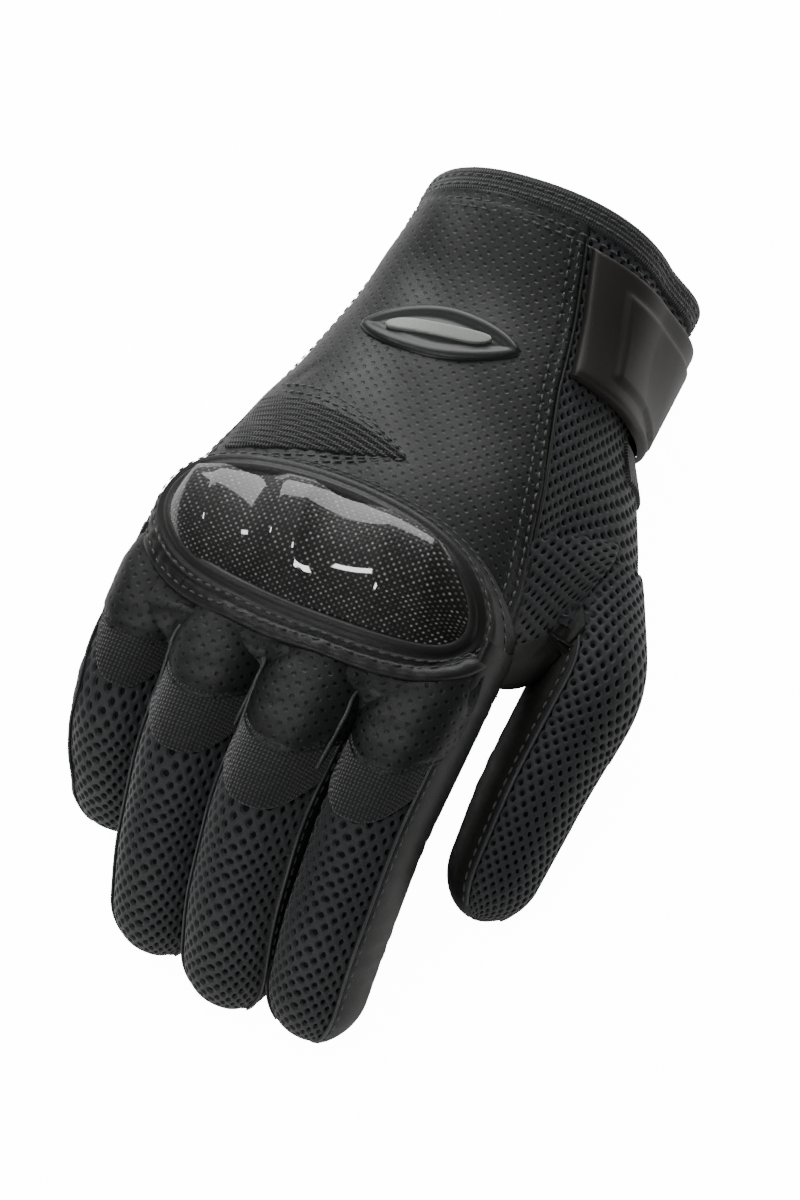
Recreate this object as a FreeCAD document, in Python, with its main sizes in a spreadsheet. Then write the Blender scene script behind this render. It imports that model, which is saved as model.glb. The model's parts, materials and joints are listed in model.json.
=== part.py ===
import FreeCAD, Part
import os
import Sketcher
from FreeCAD import Placement, Rotation, Vector

# Riding glove, right hand, lying palm down.  X to the thumb, -Y to the fingertips, Z to the back of the hand.
# The origin is the centre of the wrist opening.  All lengths are in mm, all angles in degrees.

doc = FreeCAD.newDocument("glove")
sheet = doc.addObject("Spreadsheet::Sheet", "Sizes")

sizes = {
    # cloth and leather
    "shell_wall": 2.0, "lining_wall": 1.2, "layer_gap": 0.35, "overlay_wall": 1.6, "seam_gap": 0.4,
    "finger_wall": 1.8, "panel_gap_deg": 2.0, "back_deg": 150.0,
    # hand: half width, shift to the thumb, half height and centre height at five stations from the wrist
    "station_a": 0.0, "station_b": 30.0, "station_c": 60.0, "station_d": 92.0, "station_e": 122.0,
    "width_a": 33.0, "width_b": 36.7, "width_c": 43.5, "width_d": 46.5, "width_e": 48.5,
    "shift_a": 3.0, "shift_b": 2.6, "shift_c": 3.0, "shift_d": 0.0, "shift_e": 0.0,
    "height_a": 28.0, "height_b": 25.5, "height_c": 28.2, "height_d": 24.0, "height_e": 17.5,
    "centre_a": 0.0, "centre_b": -1.4, "centre_c": -2.4, "centre_d": 5.6, "centre_e": 13.6,
    # thumb root, three round stations
    "root_a_x": 18.0, "root_a_y": 60.0, "root_a_z": -7.5, "root_a_r": 18.5, "root_a_turn": 40.0,
    "root_b_x": 46.0, "root_b_y": 80.0, "root_b_z": -9.5, "root_b_r": 17.5, "root_b_turn": 28.0,
    "root_c_x": 62.2, "root_c_y": 101.5, "root_c_z": -9.7, "root_c_r": 13.2, "root_c_turn": 0.0,
    # panel lines of the hand
    "cuff_depth": 8.6, "side_high_wrist": 6.0, "side_high_knuckle": 17.0,
    "side_low_wrist": -13.0, "side_low_knuckle": 7.0,
    "seam_wrist_x": 20.0, "seam_strap_x": 30.0, "seam_palm_x": 38.0, "seam_knuckle_x": 50.0,
    "seam_strap_y": 48.0, "seam_palm_y": 74.0, "seam_knuckle_y": 110.0,
    "gusset_line": 56.0, "inset_front": 92.0, "inset_back": 73.0, "inset_point_x": 8.0,
    "inset_point_y": 82.0,
    # strap
    "strap_clear": 1.4, "strap_wide": 33.0, "strap_wall": 2.0, "strap_split_z": -8.0, "strap_gap": 0.2,
    "strap_end_x": -14.0,
    # knuckle guard
    "guard_half": 43.0, "guard_back": 99.0, "guard_front": 133.0, "guard_wall": 2.6, "guard_crest": 116.0,
    "guard_width": 72.0, "guard_height": 42.0, "guard_top_back": 33.6, "guard_top_mid": 37.6,
    "guard_top_front": 36.6, "welt_width": 3.5, "welt_wall": 2.2,
    # joints: travel down (bending) and up (stretching), and the lean of the cut under each knuckle
    "joint_gap": 0.25, "joint_play": 1.2, "knuckle_lean": 34.0, "thumb_lean": 23.0,
    "knuckle_down": 45.0, "knuckle_up": 12.0, "mid_down": 45.0, "mid_up": 20.0, "end_down": 27.0,
    "end_up": 12.0,
    "thumb_knuckle_down": 20.0, "thumb_knuckle_up": 10.0, "thumb_mid_down": 35.0, "thumb_mid_up": 10.0,
    # fingers: knuckle position, splay, three slopes, three lengths, radius at the base and at the tip
    "index_x": 37.0, "index_y": 129.0, "index_z": 16.1, "index_splay": -3.0,
    "index_slope_a": 16.7, "index_slope_b": 32.8, "index_slope_c": 46.0,
    "index_len_a": 36.4, "index_len_b": 26.3, "index_len_c": 17.2, "index_base_r": 11.9,
    "index_tip_r": 11.2,
    "middle_x": 12.8, "middle_y": 134.6, "middle_z": 18.8, "middle_splay": -2.0,
    "middle_slope_a": 13.7, "middle_slope_b": 42.5, "middle_slope_c": 56.3,
    "middle_len_a": 36.3, "middle_len_b": 26.0, "middle_len_c": 16.7, "middle_base_r": 11.9,
    "middle_tip_r": 11.0,
    "ring_x": -11.8, "ring_y": 131.2, "ring_z": 18.6, "ring_splay": 0.0,
    "ring_slope_a": 16.0, "ring_slope_b": 43.0, "ring_slope_c": 55.0,
    "ring_len_a": 34.2, "ring_len_b": 25.7, "ring_len_c": 16.2, "ring_base_r": 11.6, "ring_tip_r": 10.9,
    "pinky_x": -35.3, "pinky_y": 128.5, "pinky_z": 12.5, "pinky_splay": -1.8,
    "pinky_slope_a": 15.5, "pinky_slope_b": 58.0, "pinky_slope_c": 70.0,
    "pinky_len_a": 25.2, "pinky_len_b": 18.0, "pinky_len_c": 13.5, "pinky_base_r": 10.9,
    "pinky_tip_r": 10.2,
    "thumb_x": 62.2, "thumb_y": 103.3, "thumb_z": -9.7, "thumb_splay": -3.0,
    "thumb_slope_a": 7.6, "thumb_slope_b": 18.8,
    "thumb_len_a": 30.0, "thumb_len_b": 22.0, "thumb_base_r": 13.2, "thumb_tip_r": 11.6,
    # padded tongues on the finger backs
    "pad_start": 8.0, "pad_length": 21.0, "pad_wall": 1.6, "pad_deg": 96.0,
    # emblem
    "emblem_x": -3.0, "emblem_y": 46.0, "emblem_long": 21.0, "emblem_wide": 8.0, "bar_long": 14.0,
    "bar_wide": 2.0,
}

for row, (name, value) in enumerate(sizes.items(), start=1):
    sheet.set(f"A{row}", name)
    sheet.set(f"B{row}", str(value))
    sheet.setAlias(f"B{row}", name)
doc.recompute()


def size(name):
    return float(sheet.get(name))


def number(expression):
    return float(sheet.evalExpression(str(expression)))


# points: (x, y) expressions, or (x, y, centre x, centre y, turn) for an arc to the next point;
# resting: the points whose height follows from an arc
def drawOutline(body, name, role, points, flipped=False, lift="0", resting=()):
    sketch = body.newObject("Sketcher::SketchObject", name)
    plane = next(item for item in body.Origin.OriginFeatures if item.Role == role)
    sketch.AttachmentSupport = [(plane, "")]
    sketch.MapMode = "FlatFace"
    turn = Rotation(Vector(1, 0, 0), 180 if flipped else 0)
    sketch.AttachmentOffset = Placement(Vector(0, 0, number(lift)), turn)
    places = [Vector(number(p[0]), number(p[1]), 0) for p in points]
    ends = []
    for i, point in enumerate(points):
        here, there = places[i], places[(i + 1) % len(points)]
        if len(point) == 2:
            edge = sketch.addGeometry(Part.LineSegment(here, there), False)
            ends.append((edge, 1, 2))
            continue
        centre = Vector(number(point[2]), number(point[3]), 0)
        first, last = (here, there) if point[4] > 0 else (there, here)
        ring = Part.Circle(centre, Vector(0, 0, 1), (here - centre).Length)
        arc = Part.ArcOfCircle(ring, ring.parameter(first), ring.parameter(last))
        edge = sketch.addGeometry(arc, False)
        ends.append((edge, 1, 2) if point[4] > 0 else (edge, 2, 1))
        for kind, text in (("DistanceX", point[2]), ("DistanceY", point[3])):
            rule = sketch.addConstraint(Sketcher.Constraint(kind, edge, 3, number(text)))
            sketch.setExpression(f"Constraints[{rule}]", str(text))
    for i in range(len(points)):
        edge, start, end = ends[i]
        follow, followStart, followEnd = ends[(i + 1) % len(points)]
        sketch.addConstraint(Sketcher.Constraint("Coincident", edge, end, follow, followStart))
    for i, point in enumerate(points):
        edge, start, end = ends[i]
        kinds = [("DistanceX", point[0])] if i in resting else [("DistanceX", point[0]), ("DistanceY",
            point[1])]
        for kind, text in kinds:
            rule = sketch.addConstraint(Sketcher.Constraint(kind, edge, start, number(text)))
            sketch.setExpression(f"Constraints[{rule}]", str(text))
    return sketch


def prism(name, role, points, low, high):
    """A straight block over an outline, used to cut panels out of a layer."""
    body = doc.addObject("PartDesign::Body", name)
    sketch = drawOutline(body, name + "_line", role, points, lift=low)
    doc.recompute()
    pad = body.newObject("PartDesign::Pad", name + "_block")
    pad.Profile = sketch
    pad.setExpression("Length", f"({high}) - ({low})")
    body.Visibility = False
    doc.recompute()
    return body


def handBody(name, grow):
    """The hand and thumb root, grown outwards by an expression."""
    rings = []
    for part in "abcde":
        ring = doc.addObject("Part::Ellipse", f"{name}_ring_{part}")
        ring.setExpression("MajorRadius", f"Sizes.width_{part} + ({grow})")
        ring.setExpression("MinorRadius", f"Sizes.height_{part} + ({grow})")
        ring.setExpression("Placement.Base.x", f"Sizes.shift_{part}")
        ring.setExpression("Placement.Base.y", f"-Sizes.station_{part}")
        ring.setExpression("Placement.Base.z", f"Sizes.centre_{part}")
        ring.setExpression("Placement.Rotation", "rotation(vector(1; 0; 0); 90)")
        rings.append(ring)
    palm = doc.addObject("Part::Loft", name + "_palm")
    palm.Sections = rings
    palm.Solid = True
    rounds = []
    for part in "abc":
        ring = doc.addObject("Part::Circle", f"{name}_root_{part}")
        ring.setExpression("Radius", f"Sizes.root_{part}_r + ({grow})")
        ring.setExpression("Placement.Base.x", f"Sizes.root_{part}_x")
        ring.setExpression("Placement.Base.y", f"-Sizes.root_{part}_y")
        ring.setExpression("Placement.Base.z", f"Sizes.root_{part}_z")
        turn = f"rotation(vector(0; 0; 1); Sizes.root_{part}_turn) * rotation(vector(1; 0; 0); 90)"
        ring.setExpression("Placement.Rotation", turn)
        rounds.append(ring)
    root = doc.addObject("Part::Loft", name + "_root")
    root.Sections = rounds
    root.Solid = True
    whole = doc.addObject("Part::Fuse", name)
    whole.Base = palm
    whole.Tool = root
    doc.recompute()
    return whole


def cut(name, base, tool):
    item = doc.addObject("Part::Cut", name)
    item.Base = base
    item.Tool = tool
    doc.recompute()
    return item


def common(name, *shapes):
    item = doc.addObject("Part::MultiCommon", name)
    item.Shapes = list(shapes)
    doc.recompute()
    return item


nodes = []


def keep(item, label):
    item.Label = label
    nodes.append(item)
    return item


# hand layers, from the lining out
outer = handBody("outer", "0")
inner = handBody("inner", "-Sizes.shell_wall")
liningOuter = handBody("lining_outer", "-Sizes.shell_wall - Sizes.layer_gap")
liningInner = handBody("lining_inner", "-Sizes.shell_wall - Sizes.layer_gap - Sizes.lining_wall")
overInner = handBody("over_inner", "Sizes.layer_gap")
overOuter = handBody("over_outer", "Sizes.layer_gap + Sizes.overlay_wall")
strapOuter = handBody("strap_outer", "Sizes.layer_gap + Sizes.strap_wall")
cuffOuter = handBody("cuff_outer", "0.6")
shell = cut("shell", outer, inner)
overlay = cut("overlay", overOuter, overInner)
strapLayer = cut("strap_layer", strapOuter, overInner)

# blocks that divide the hand shell into panels
top = "60"
low = "-60"
half = "Sizes.seam_gap/2"
cuffLine = "-Sizes.cuff_depth - Sizes.seam_gap"
endLine = "-Sizes.station_e"
highA, highB = "Sizes.side_high_wrist", "Sizes.side_high_knuckle"
lowA, lowB = "Sizes.side_low_wrist", "Sizes.side_low_knuckle"


def band(name, startLow, endLow, startHigh, endHigh):
    points = [(cuffLine, startLow), (endLine, endLow), (endLine, endHigh), (cuffLine, startHigh)]
    return prism(name, "YZ_Plane", points, "-100", "100")


upper = band("upper_band", f"{highA} + {half}", f"{highB} + {half}", top, top)
lower = band("lower_band", low, low, f"{lowA} - {half}", f"{lowB} - {half}")
side = band("side_band", f"{lowA} + {half}", f"{lowB} + {half}", f"{highA} - {half}", f"{highB} - {half}")
aboveLow = band("above_low", f"{lowA} + {half}", f"{lowB} + {half}", top, top)

seam = [("Sizes.seam_wrist_x", cuffLine), ("Sizes.seam_strap_x", "-Sizes.seam_strap_y"),
        ("Sizes.seam_palm_x", "-Sizes.seam_palm_y"),
        ("Sizes.seam_knuckle_x", "-Sizes.seam_knuckle_y"), ("Sizes.seam_knuckle_x", endLine)]
backPlan = prism("back_plan", "XY_Plane",
                 [("-90", cuffLine)] + [(f"{x} - {half}", y) for x, y in seam] + [("-90", endLine)],
                 low, top)
thumbPlan = prism("thumb_plan", "XY_Plane",
                  [("110", cuffLine)] + [(f"{x} + {half}", y) for x, y in seam] + [("110", endLine)],
                  low, top)
insetPlan = prism("inset_plan", "XY_Plane",
                  [("-90", "-Sizes.inset_back + 4"), ("-24", "-Sizes.inset_back"),
                   ("Sizes.inset_point_x", "-Sizes.inset_point_y"), ("-20", "-Sizes.inset_front + 4"),
                   ("-90", "-Sizes.inset_front - 6")], low, top)
insetHole = prism("inset_hole", "XY_Plane",
                  [("-90", "-Sizes.inset_back + 4 + Sizes.seam_gap"), ("-24",
                   "-Sizes.inset_back + Sizes.seam_gap"),
                   ("Sizes.inset_point_x + 1", "-Sizes.inset_point_y"),
                   ("-20", "-Sizes.inset_front + 4 - Sizes.seam_gap"),
                   ("-90", "-Sizes.inset_front - 6 - Sizes.seam_gap")], low, top)

backWhole = common("back_whole", shell, backPlan, upper)
keep(cut("back_cut", backWhole, insetHole), "back_leather")
keep(common("inset_panel", shell, insetPlan, upper), "stretch_inset")
pinkyHalf = prism("pinky_half", "XY_Plane", [("-90", cuffLine), ("0", cuffLine), ("0", endLine), ("-90",
                  endLine)],
                  low, top)
keep(common("pinky_side", shell, side, pinkyHalf), "pinky_side_leather")
wristPart = prism("wrist_part", "XY_Plane", [("0", cuffLine), ("110", cuffLine),
                  ("110", f"-Sizes.gusset_line + {half}"), ("0", f"-Sizes.gusset_line + {half}")], low, top)
rootPart = prism("root_part", "XY_Plane", [("0", f"-Sizes.gusset_line - {half}"),
                 ("110", f"-Sizes.gusset_line - {half}"), ("110", endLine), ("0", endLine)], low, top)
wristSide = common("wrist_side_plan", thumbPlan, aboveLow, wristPart)
rootSide = common("root_side_plan", thumbPlan, aboveLow, rootPart)
keep(common("thumb_side_wrist", shell, wristSide), "thumb_side_mesh")
keep(common("thumb_root_top", shell, rootSide), "thumb_root_mesh")
palmPlan = prism("palm_plan", "XY_Plane",
                 [("-90", cuffLine), ("110", cuffLine), ("110", f"-Sizes.gusset_line + {half}"),
                  (f"28 - {half}", f"-Sizes.gusset_line + {half}"), (f"28 - {half}", endLine), ("-90",
                      endLine)],
                 low, top)
keep(common("palm_panel", shell, lower, palmPlan), "palm_leather")
gussetPlan = prism("gusset_plan", "XY_Plane",
                   [(f"28 + {half}", f"-Sizes.gusset_line - {half}"), ("110",
                    f"-Sizes.gusset_line - {half}"),
                    ("110", endLine), (f"28 + {half}", endLine)], low, top)
keep(common("gusset_panel", shell, lower, gussetPlan), "thumb_root_palm")

# cuff ring and lining
cuffRange = prism("cuff_range", "XY_Plane", [("-90", "-Sizes.cuff_depth"), ("90", "-Sizes.cuff_depth"),
                  ("90", "-0.05"), ("-90", "-0.05")], low, top)
cuffHollow = cut("cuff_hollow", cuffOuter, inner)
keep(common("cuff_ring", cuffHollow, cuffRange), "cuff_binding")
liningRange = prism("lining_range", "XY_Plane", [("-90", "-Sizes.station_e + 0.4"), ("110",
                    "-Sizes.station_e + 0.4"),
                    ("110", "-0.8"), ("-90", "-0.8")], low, top)
liningHollow = cut("lining_hollow", liningOuter, liningInner)
keep(common("lining_tube", liningHollow, liningRange), "lining")

# strap: sewn part, free flap, pull tab, hook and loop patches
strapNear = "-(Sizes.cuff_depth + Sizes.strap_clear)"
strapFar = "-(Sizes.cuff_depth + Sizes.strap_clear + Sizes.strap_wide)"
aboveSplit, belowSplit = "Sizes.strap_split_z + Sizes.strap_gap", "Sizes.strap_split_z - Sizes.strap_gap"
strapBlock = prism("strap_block", "YZ_Plane",
                   [(strapNear, aboveSplit), (strapFar, aboveSplit), (strapFar, top), (strapNear, top)],
                   "0", "90")
strapTop = prism("strap_top", "XY_Plane",
                 [("Sizes.seam_wrist_x + 1.5", f"{strapNear} + 1"), ("90", f"{strapNear} + 1"),
                  ("90", f"{strapFar} - 1"), ("Sizes.seam_strap_x + 0.5", f"{strapFar} - 1")], low, top)
keep(common("strap_sewn", strapLayer, strapBlock, strapTop), "strap_anchor")
flapBlock = prism("flap_block", "YZ_Plane",
                  [(strapNear, low), (strapFar, low), (strapFar, belowSplit), (strapNear, belowSplit)],
                  "Sizes.strap_end_x", "90")
keep(common("strap_free", strapLayer, flapBlock), "strap_flap")
tabInner = handBody("tab_inner", "Sizes.strap_wall + 2*Sizes.layer_gap")
tabOuter = handBody("tab_outer", "Sizes.strap_wall + 2*Sizes.layer_gap + 1.0")
tabLayer = cut("tab_layer", tabOuter, tabInner)
tabBlock = prism("tab_block", "XY_Plane",
                 [("Sizes.strap_end_x + 1", f"{strapNear} - 5"), ("Sizes.strap_end_x + 1",
                  f"{strapFar} + 5"),
                  ("Sizes.strap_end_x + 19", f"{strapFar} + 5"), ("Sizes.strap_end_x + 19",
                      f"{strapNear} - 5")],
                 low, "-10")
keep(common("tab_piece", tabLayer, tabBlock), "strap_pull_tab")

# knuckle guard: shell, padding below it and the sewn welt round it
def guardLoft(name, grow):
    rings = []
    for place, rise in (("Sizes.guard_back - 6", "Sizes.guard_top_back"), ("Sizes.guard_crest",
                        "Sizes.guard_top_mid"),
                        ("Sizes.guard_front + 6", "Sizes.guard_top_front")):
        ring = doc.addObject("Part::Ellipse", f"{name}_ring_{len(rings)}")
        ring.setExpression("MajorRadius", f"Sizes.guard_width + ({grow})")
        ring.setExpression("MinorRadius", f"Sizes.guard_height + ({grow})")
        ring.setExpression("Placement.Base.y", f"-({place})")
        ring.setExpression("Placement.Base.z", f"{rise} - Sizes.guard_height")
        ring.setExpression("Placement.Rotation", "rotation(vector(1; 0; 0); 90)")
        rings.append(ring)
    item = doc.addObject("Part::Loft", name)
    item.Sections = rings
    item.Solid = True
    doc.recompute()
    return item


def guardOutline(grow, ahead):
    wide, back = f"Sizes.guard_half + ({grow})", f"-Sizes.guard_back + ({grow})"
    return [(f"-({wide})", "-120"), (f"-({wide}) + 3", "-110"), (f"-({wide}) + 12", f"({back}) - 2"),
            (f"-12", back), ("14", back), (f"({wide}) - 14", f"({back}) - 5"), (f"({wide}) - 3", "-112"),
            (wide, "-122"), (f"({wide}) - 6", ahead), (f"-({wide}) + 6", ahead)]


guardOuter = guardLoft("guard_outer", "Sizes.guard_wall")
guardInner = guardLoft("guard_inner", "0")
foamTop = guardLoft("foam_top", "-Sizes.layer_gap")
guardLayer = cut("guard_layer", guardOuter, guardInner)
guardPlan = prism("guard_plan", "XY_Plane", guardOutline("0", "-Sizes.guard_front"), "10", "60")
keep(common("guard_piece", guardLayer, guardPlan), "knuckle_guard")
foamPlan = prism("foam_plan", "XY_Plane", guardOutline("-2", "-Sizes.guard_front"), "10", "60")
handOnly = prism("hand_only", "XY_Plane", [("-90", "-60"), ("90", "-60"), ("90", "-Sizes.station_e + 0.5"),
                 ("-90", "-Sizes.station_e + 0.5")], "5", "60")
foamBlock = cut("foam_block", foamTop, overInner)
keep(common("foam_piece", foamBlock, foamPlan, handOnly), "knuckle_padding")
weltOuter = handBody("welt_outer", "Sizes.layer_gap + Sizes.welt_wall")
weltPlan = prism("welt_plan", "XY_Plane", guardOutline("Sizes.welt_width", "-Sizes.guard_front"), "10",
                 "60")
weltHole = prism("welt_hole", "XY_Plane", guardOutline("0.3", "-Sizes.guard_front - 8"), "5", "60")
weltBlock = common("welt_block", cut("welt_ring", weltPlan, weltHole), handOnly)
keep(cut("welt_piece", common("welt_raw", weltOuter, weltBlock), overInner), "knuckle_welt")

# emblem: a plain lens with a reflective bar, and the palm overlays
ex, ey = "Sizes.emblem_x", "-Sizes.emblem_y"


def lens(longHalf, wideHalf):
    steps = ((-1, 0), (-0.5, 0.85), (0.5, 0.85), (1, 0), (0.5, -0.85), (-0.5, -0.85))
    return [(f"{ex} + {a}*({longHalf})", f"{ey} + {b}*({wideHalf})") for a, b in steps]


emblemPlan = prism("emblem_plan", "XY_Plane", lens("Sizes.emblem_long", "Sizes.emblem_wide"), "10", "60")
barHole = prism("bar_hole", "XY_Plane", lens("Sizes.bar_long + 0.4", "Sizes.bar_wide + 0.4"), "5", "60")
barPlan = prism("bar_plan", "XY_Plane", lens("Sizes.bar_long", "Sizes.bar_wide"), "10", "60")
keep(cut("emblem_piece", common("emblem_whole", overlay, emblemPlan), barHole), "emblem_patch")
keep(common("bar_piece", overlay, barPlan), "reflective_bar")
heelPlan = prism("heel_plan", "XY_Plane",
                 [("-30", "-46"), ("-8", "-46"), ("-4", "-60"), ("-10", "-78"), ("-30", "-78"), ("-34",
                  "-62")],
                 low, "-4")
keep(common("heel_piece", overlay, heelPlan), "heel_pad")
gripPlan = prism("grip_plan", "XY_Plane",
                 [("-36", "-90"), ("36", "-90"), ("36", "-117"), ("-36", "-117")], low, "8")
keep(common("grip_piece", overlay, gripPlan), "palm_overlay")


# fingers and thumb
fingerSpan = {"index": "abc", "middle": "abc", "ring": "abc", "pinky": "abc", "thumb": "ab"}
rowNames = {"abc": ("proximal", "middle", "distal"), "ab": ("proximal", "distal")}
share = {"abc": (0.0, 0.45, 0.8, 1.0), "ab": (0.0, 0.6, 1.0)}
swing = {"abc": ("knuckle", "mid", "end"), "ab": ("thumb_knuckle", "thumb_mid")}


def radiusAt(finger, part):
    return f"(Sizes.{finger}_base_r*{1 - part:.2f} + Sizes.{finger}_tip_r*{part:.2f})"


# how far the end of a panel leans away from its joint, on the palm side or the back
def leanOf(finger, spanNames, j, isBack):
    if j == 0:
        return "0" if isBack else ("Sizes.thumb_lean" if finger == "thumb" else "Sizes.knuckle_lean")
    bend = f"(Sizes.{finger}_slope_{spanNames[j]} - Sizes.{finger}_slope_{spanNames[j - 1]})"
    joint = swing[spanNames][j]
    travel = f"Sizes.{joint}_up - {bend}" if isBack else f"Sizes.{joint}_down + {bend}"
    return f"max(({travel})/2 + Sizes.joint_play; 0)"


def segmentPanel(finger, spanNames, i, isBack, label, place):
    letter = spanNames[i]
    isTip = i == len(spanNames) - 1
    length = f"Sizes.{finger}_len_{letter}"
    startR = radiusAt(finger, share[spanNames][i])
    endR = radiusAt(finger, share[spanNames][i + 1])
    wall = "Sizes.finger_wall"
    body = doc.addObject("PartDesign::Body", label)
    if isTip:
        points = [("0", startR), (f"-{length}", endR, f"-{length}", "0", 1), (f"-({length} + {endR})", "0"),
                  (f"-({length} + {endR} - {wall})", "0", f"-{length}", "0", -1),
                  (f"-{length}", f"{endR} - {wall}"), ("0", f"{startR} - {wall}")]
    else:
        points = [("0", startR), (f"-{length}", endR), (f"-{length}", f"{endR} - {wall}"),
                  ("0", f"{startR} - {wall}")]
    resting = (1, 4) if isTip else ()
    wallSketch = drawOutline(body, label + "_wall", "YZ_Plane", points, flipped=not isBack, resting=resting)
    doc.recompute()
    turned = body.newObject("PartDesign::Revolution", label + "_turn")
    turned.Profile = wallSketch
    turned.ReferenceAxis = (wallSketch, ["H_Axis"])
    turned.Midplane = True
    angle = "Sizes.back_deg" if isBack else "360 - Sizes.back_deg - 2*Sizes.panel_gap_deg"
    turned.setExpression("Angle", angle)
    doc.recompute()
    gap = "Sizes.joint_gap"

    def reach(j, back, rise):
        return f"{rise}*tan(({leanOf(finger, spanNames, j, back)})*1deg)"

    notches = [[("14", "20"), (f"-({gap} + {reach(i, isBack, 20)})", "20"), (f"-{gap}", "0"),
                (f"-({gap} + {reach(i, not isBack, 6)})", "-6"), ("14", "-6")]]
    if not isTip:
        notches.append([(f"-({length} + 14)", "20"),
                       (f"-({length} - {gap} - {reach(i + 1, isBack, 20)})", "20"),
                        (f"-({length} - {gap})", "0"),
                        (f"-({length} - {gap} - {reach(i + 1, not isBack, 6)})", "-6"),
                        (f"-({length} + 14)", "-6")])
    for j, points in enumerate(notches):
        notch = drawOutline(body, f"{label}_notch_{j}", "YZ_Plane", points, flipped=not isBack)
        doc.recompute()
        pocket = body.newObject("PartDesign::Pocket", f"{label}_cut_{j}")
        pocket.Profile = notch
        pocket.Type = "ThroughAll"
        pocket.Midplane = True
        doc.recompute()
    body.Placement = place
    doc.recompute()
    return keep(body, label)


def padPiece(finger, place):
    label = f"{finger}_knuckle_pad"
    body = doc.addObject("PartDesign::Body", label)
    rise = f"Sizes.{finger}_base_r + Sizes.layer_gap"
    far = "Sizes.pad_start + Sizes.pad_length" + (" - 6" if finger == "pinky" else "")
    points = [("-Sizes.pad_start", rise), (f"-({far})", rise), (f"-({far} - 1)",
              f"{rise} + Sizes.pad_wall"),
              ("-(Sizes.pad_start + 1)", f"{rise} + Sizes.pad_wall")]
    sketch = drawOutline(body, label + "_wall", "YZ_Plane", points)
    doc.recompute()
    turned = body.newObject("PartDesign::Revolution", label + "_turn")
    turned.Profile = sketch
    turned.ReferenceAxis = (sketch, ["H_Axis"])
    turned.Midplane = True
    turned.setExpression("Angle", "Sizes.pad_deg")
    doc.recompute()
    body.Placement = place
    keep(body, label)


for finger, spanNames in fingerSpan.items():
    point = Vector(size(finger + "_x"), -size(finger + "_y"), size(finger + "_z"))
    for i, letter in enumerate(spanNames):
        slope = size(f"{finger}_slope_{letter}")
        turn = Rotation(Vector(0, 0, 1), size(finger + "_splay")) * Rotation(Vector(1, 0, 0), slope)
        place = Placement(point, turn)
        part = rowNames[spanNames][i]
        segmentPanel(finger, spanNames, i, True, f"{finger}_{part}_back", place)
        segmentPanel(finger, spanNames, i, False, f"{finger}_{part}_palm", place)
        if i == 0 and finger != "thumb":
            padPiece(finger, place)
        point = point + turn.multVec(Vector(0, -size(f"{finger}_len_{letter}"), 0))

# check and write
os.makedirs("parts", exist_ok=True)
doc.recompute()
faults = []
for item in doc.Objects:
    if "Invalid" in item.State or "Error" in item.State:
        faults.append(item.Name)
for item in nodes:
    shape = item.Shape
    if shape.isNull() or not shape.isValid() or not shape.Solids:
        faults.append(item.Label)
        continue
    item.Shape.exportStep(os.path.join("parts", item.Label + ".step"))
    print(f"{item.Label:24s} solids {len(shape.Solids)} volume {shape.Volume:9.1f}")
    if len(shape.Solids) > 1:
        print([(round(solid.Volume, 2), solid.BoundBox) for solid in shape.Solids])
print("nodes", len(nodes), "faults", faults)
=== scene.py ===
import json
import math

import bmesh
import bpy
import numpy as np
from mathutils import Matrix, Vector


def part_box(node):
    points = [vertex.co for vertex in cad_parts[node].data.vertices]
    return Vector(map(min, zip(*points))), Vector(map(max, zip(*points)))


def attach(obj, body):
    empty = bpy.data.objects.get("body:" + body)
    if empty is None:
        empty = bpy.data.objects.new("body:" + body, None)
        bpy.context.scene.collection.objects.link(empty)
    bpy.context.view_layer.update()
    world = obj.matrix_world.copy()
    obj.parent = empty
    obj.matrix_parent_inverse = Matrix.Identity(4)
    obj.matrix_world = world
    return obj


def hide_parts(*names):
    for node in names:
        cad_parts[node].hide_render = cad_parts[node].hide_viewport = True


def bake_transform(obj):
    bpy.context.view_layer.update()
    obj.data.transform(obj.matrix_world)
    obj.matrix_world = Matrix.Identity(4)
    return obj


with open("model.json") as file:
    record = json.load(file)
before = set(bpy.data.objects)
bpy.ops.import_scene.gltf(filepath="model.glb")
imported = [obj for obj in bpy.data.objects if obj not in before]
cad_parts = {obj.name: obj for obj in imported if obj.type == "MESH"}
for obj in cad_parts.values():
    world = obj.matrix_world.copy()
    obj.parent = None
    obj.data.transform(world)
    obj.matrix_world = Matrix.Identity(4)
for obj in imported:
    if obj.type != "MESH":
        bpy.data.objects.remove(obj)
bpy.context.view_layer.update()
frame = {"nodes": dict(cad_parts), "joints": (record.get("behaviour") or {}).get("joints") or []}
joints = {item["name"]: np.array(item["pos_m"]) * 1000 for item in frame["joints"]}
rad = math.radians


def addObject(name, data):
    item = bpy.data.objects.new(name, data)
    bpy.context.scene.collection.objects.link(item)
    return item


view = {"azimuth": 39.5, "elevation": 57.9, "roll": -15.5, "aim": (0.0113, -0.1034, -0.0024), "distance": 1.017,
        "lens": 127.1}
camera = addObject("camera", bpy.data.cameras.new("camera"))
bpy.context.scene.camera = camera
azimuth, elevation, roll = (rad(view[key]) for key in ("azimuth", "elevation", "roll"))
backward = Vector((math.sin(azimuth) * math.cos(elevation), -math.cos(azimuth) * math.cos(elevation),
                   math.sin(elevation)))
level = Vector((math.cos(azimuth), math.sin(azimuth), 0))
upright = backward.cross(level)
across = level * math.cos(roll) + upright * math.sin(roll)
above = upright * math.cos(roll) - level * math.sin(roll)
turned = Matrix((across, above, backward)).transposed().to_4x4()
camera.matrix_world = Matrix.Translation(Vector(view["aim"]) + backward * view["distance"]) @ turned
camera.data.lens = view["lens"]
camera.data.clip_end = 20
print("camera set")


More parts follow.
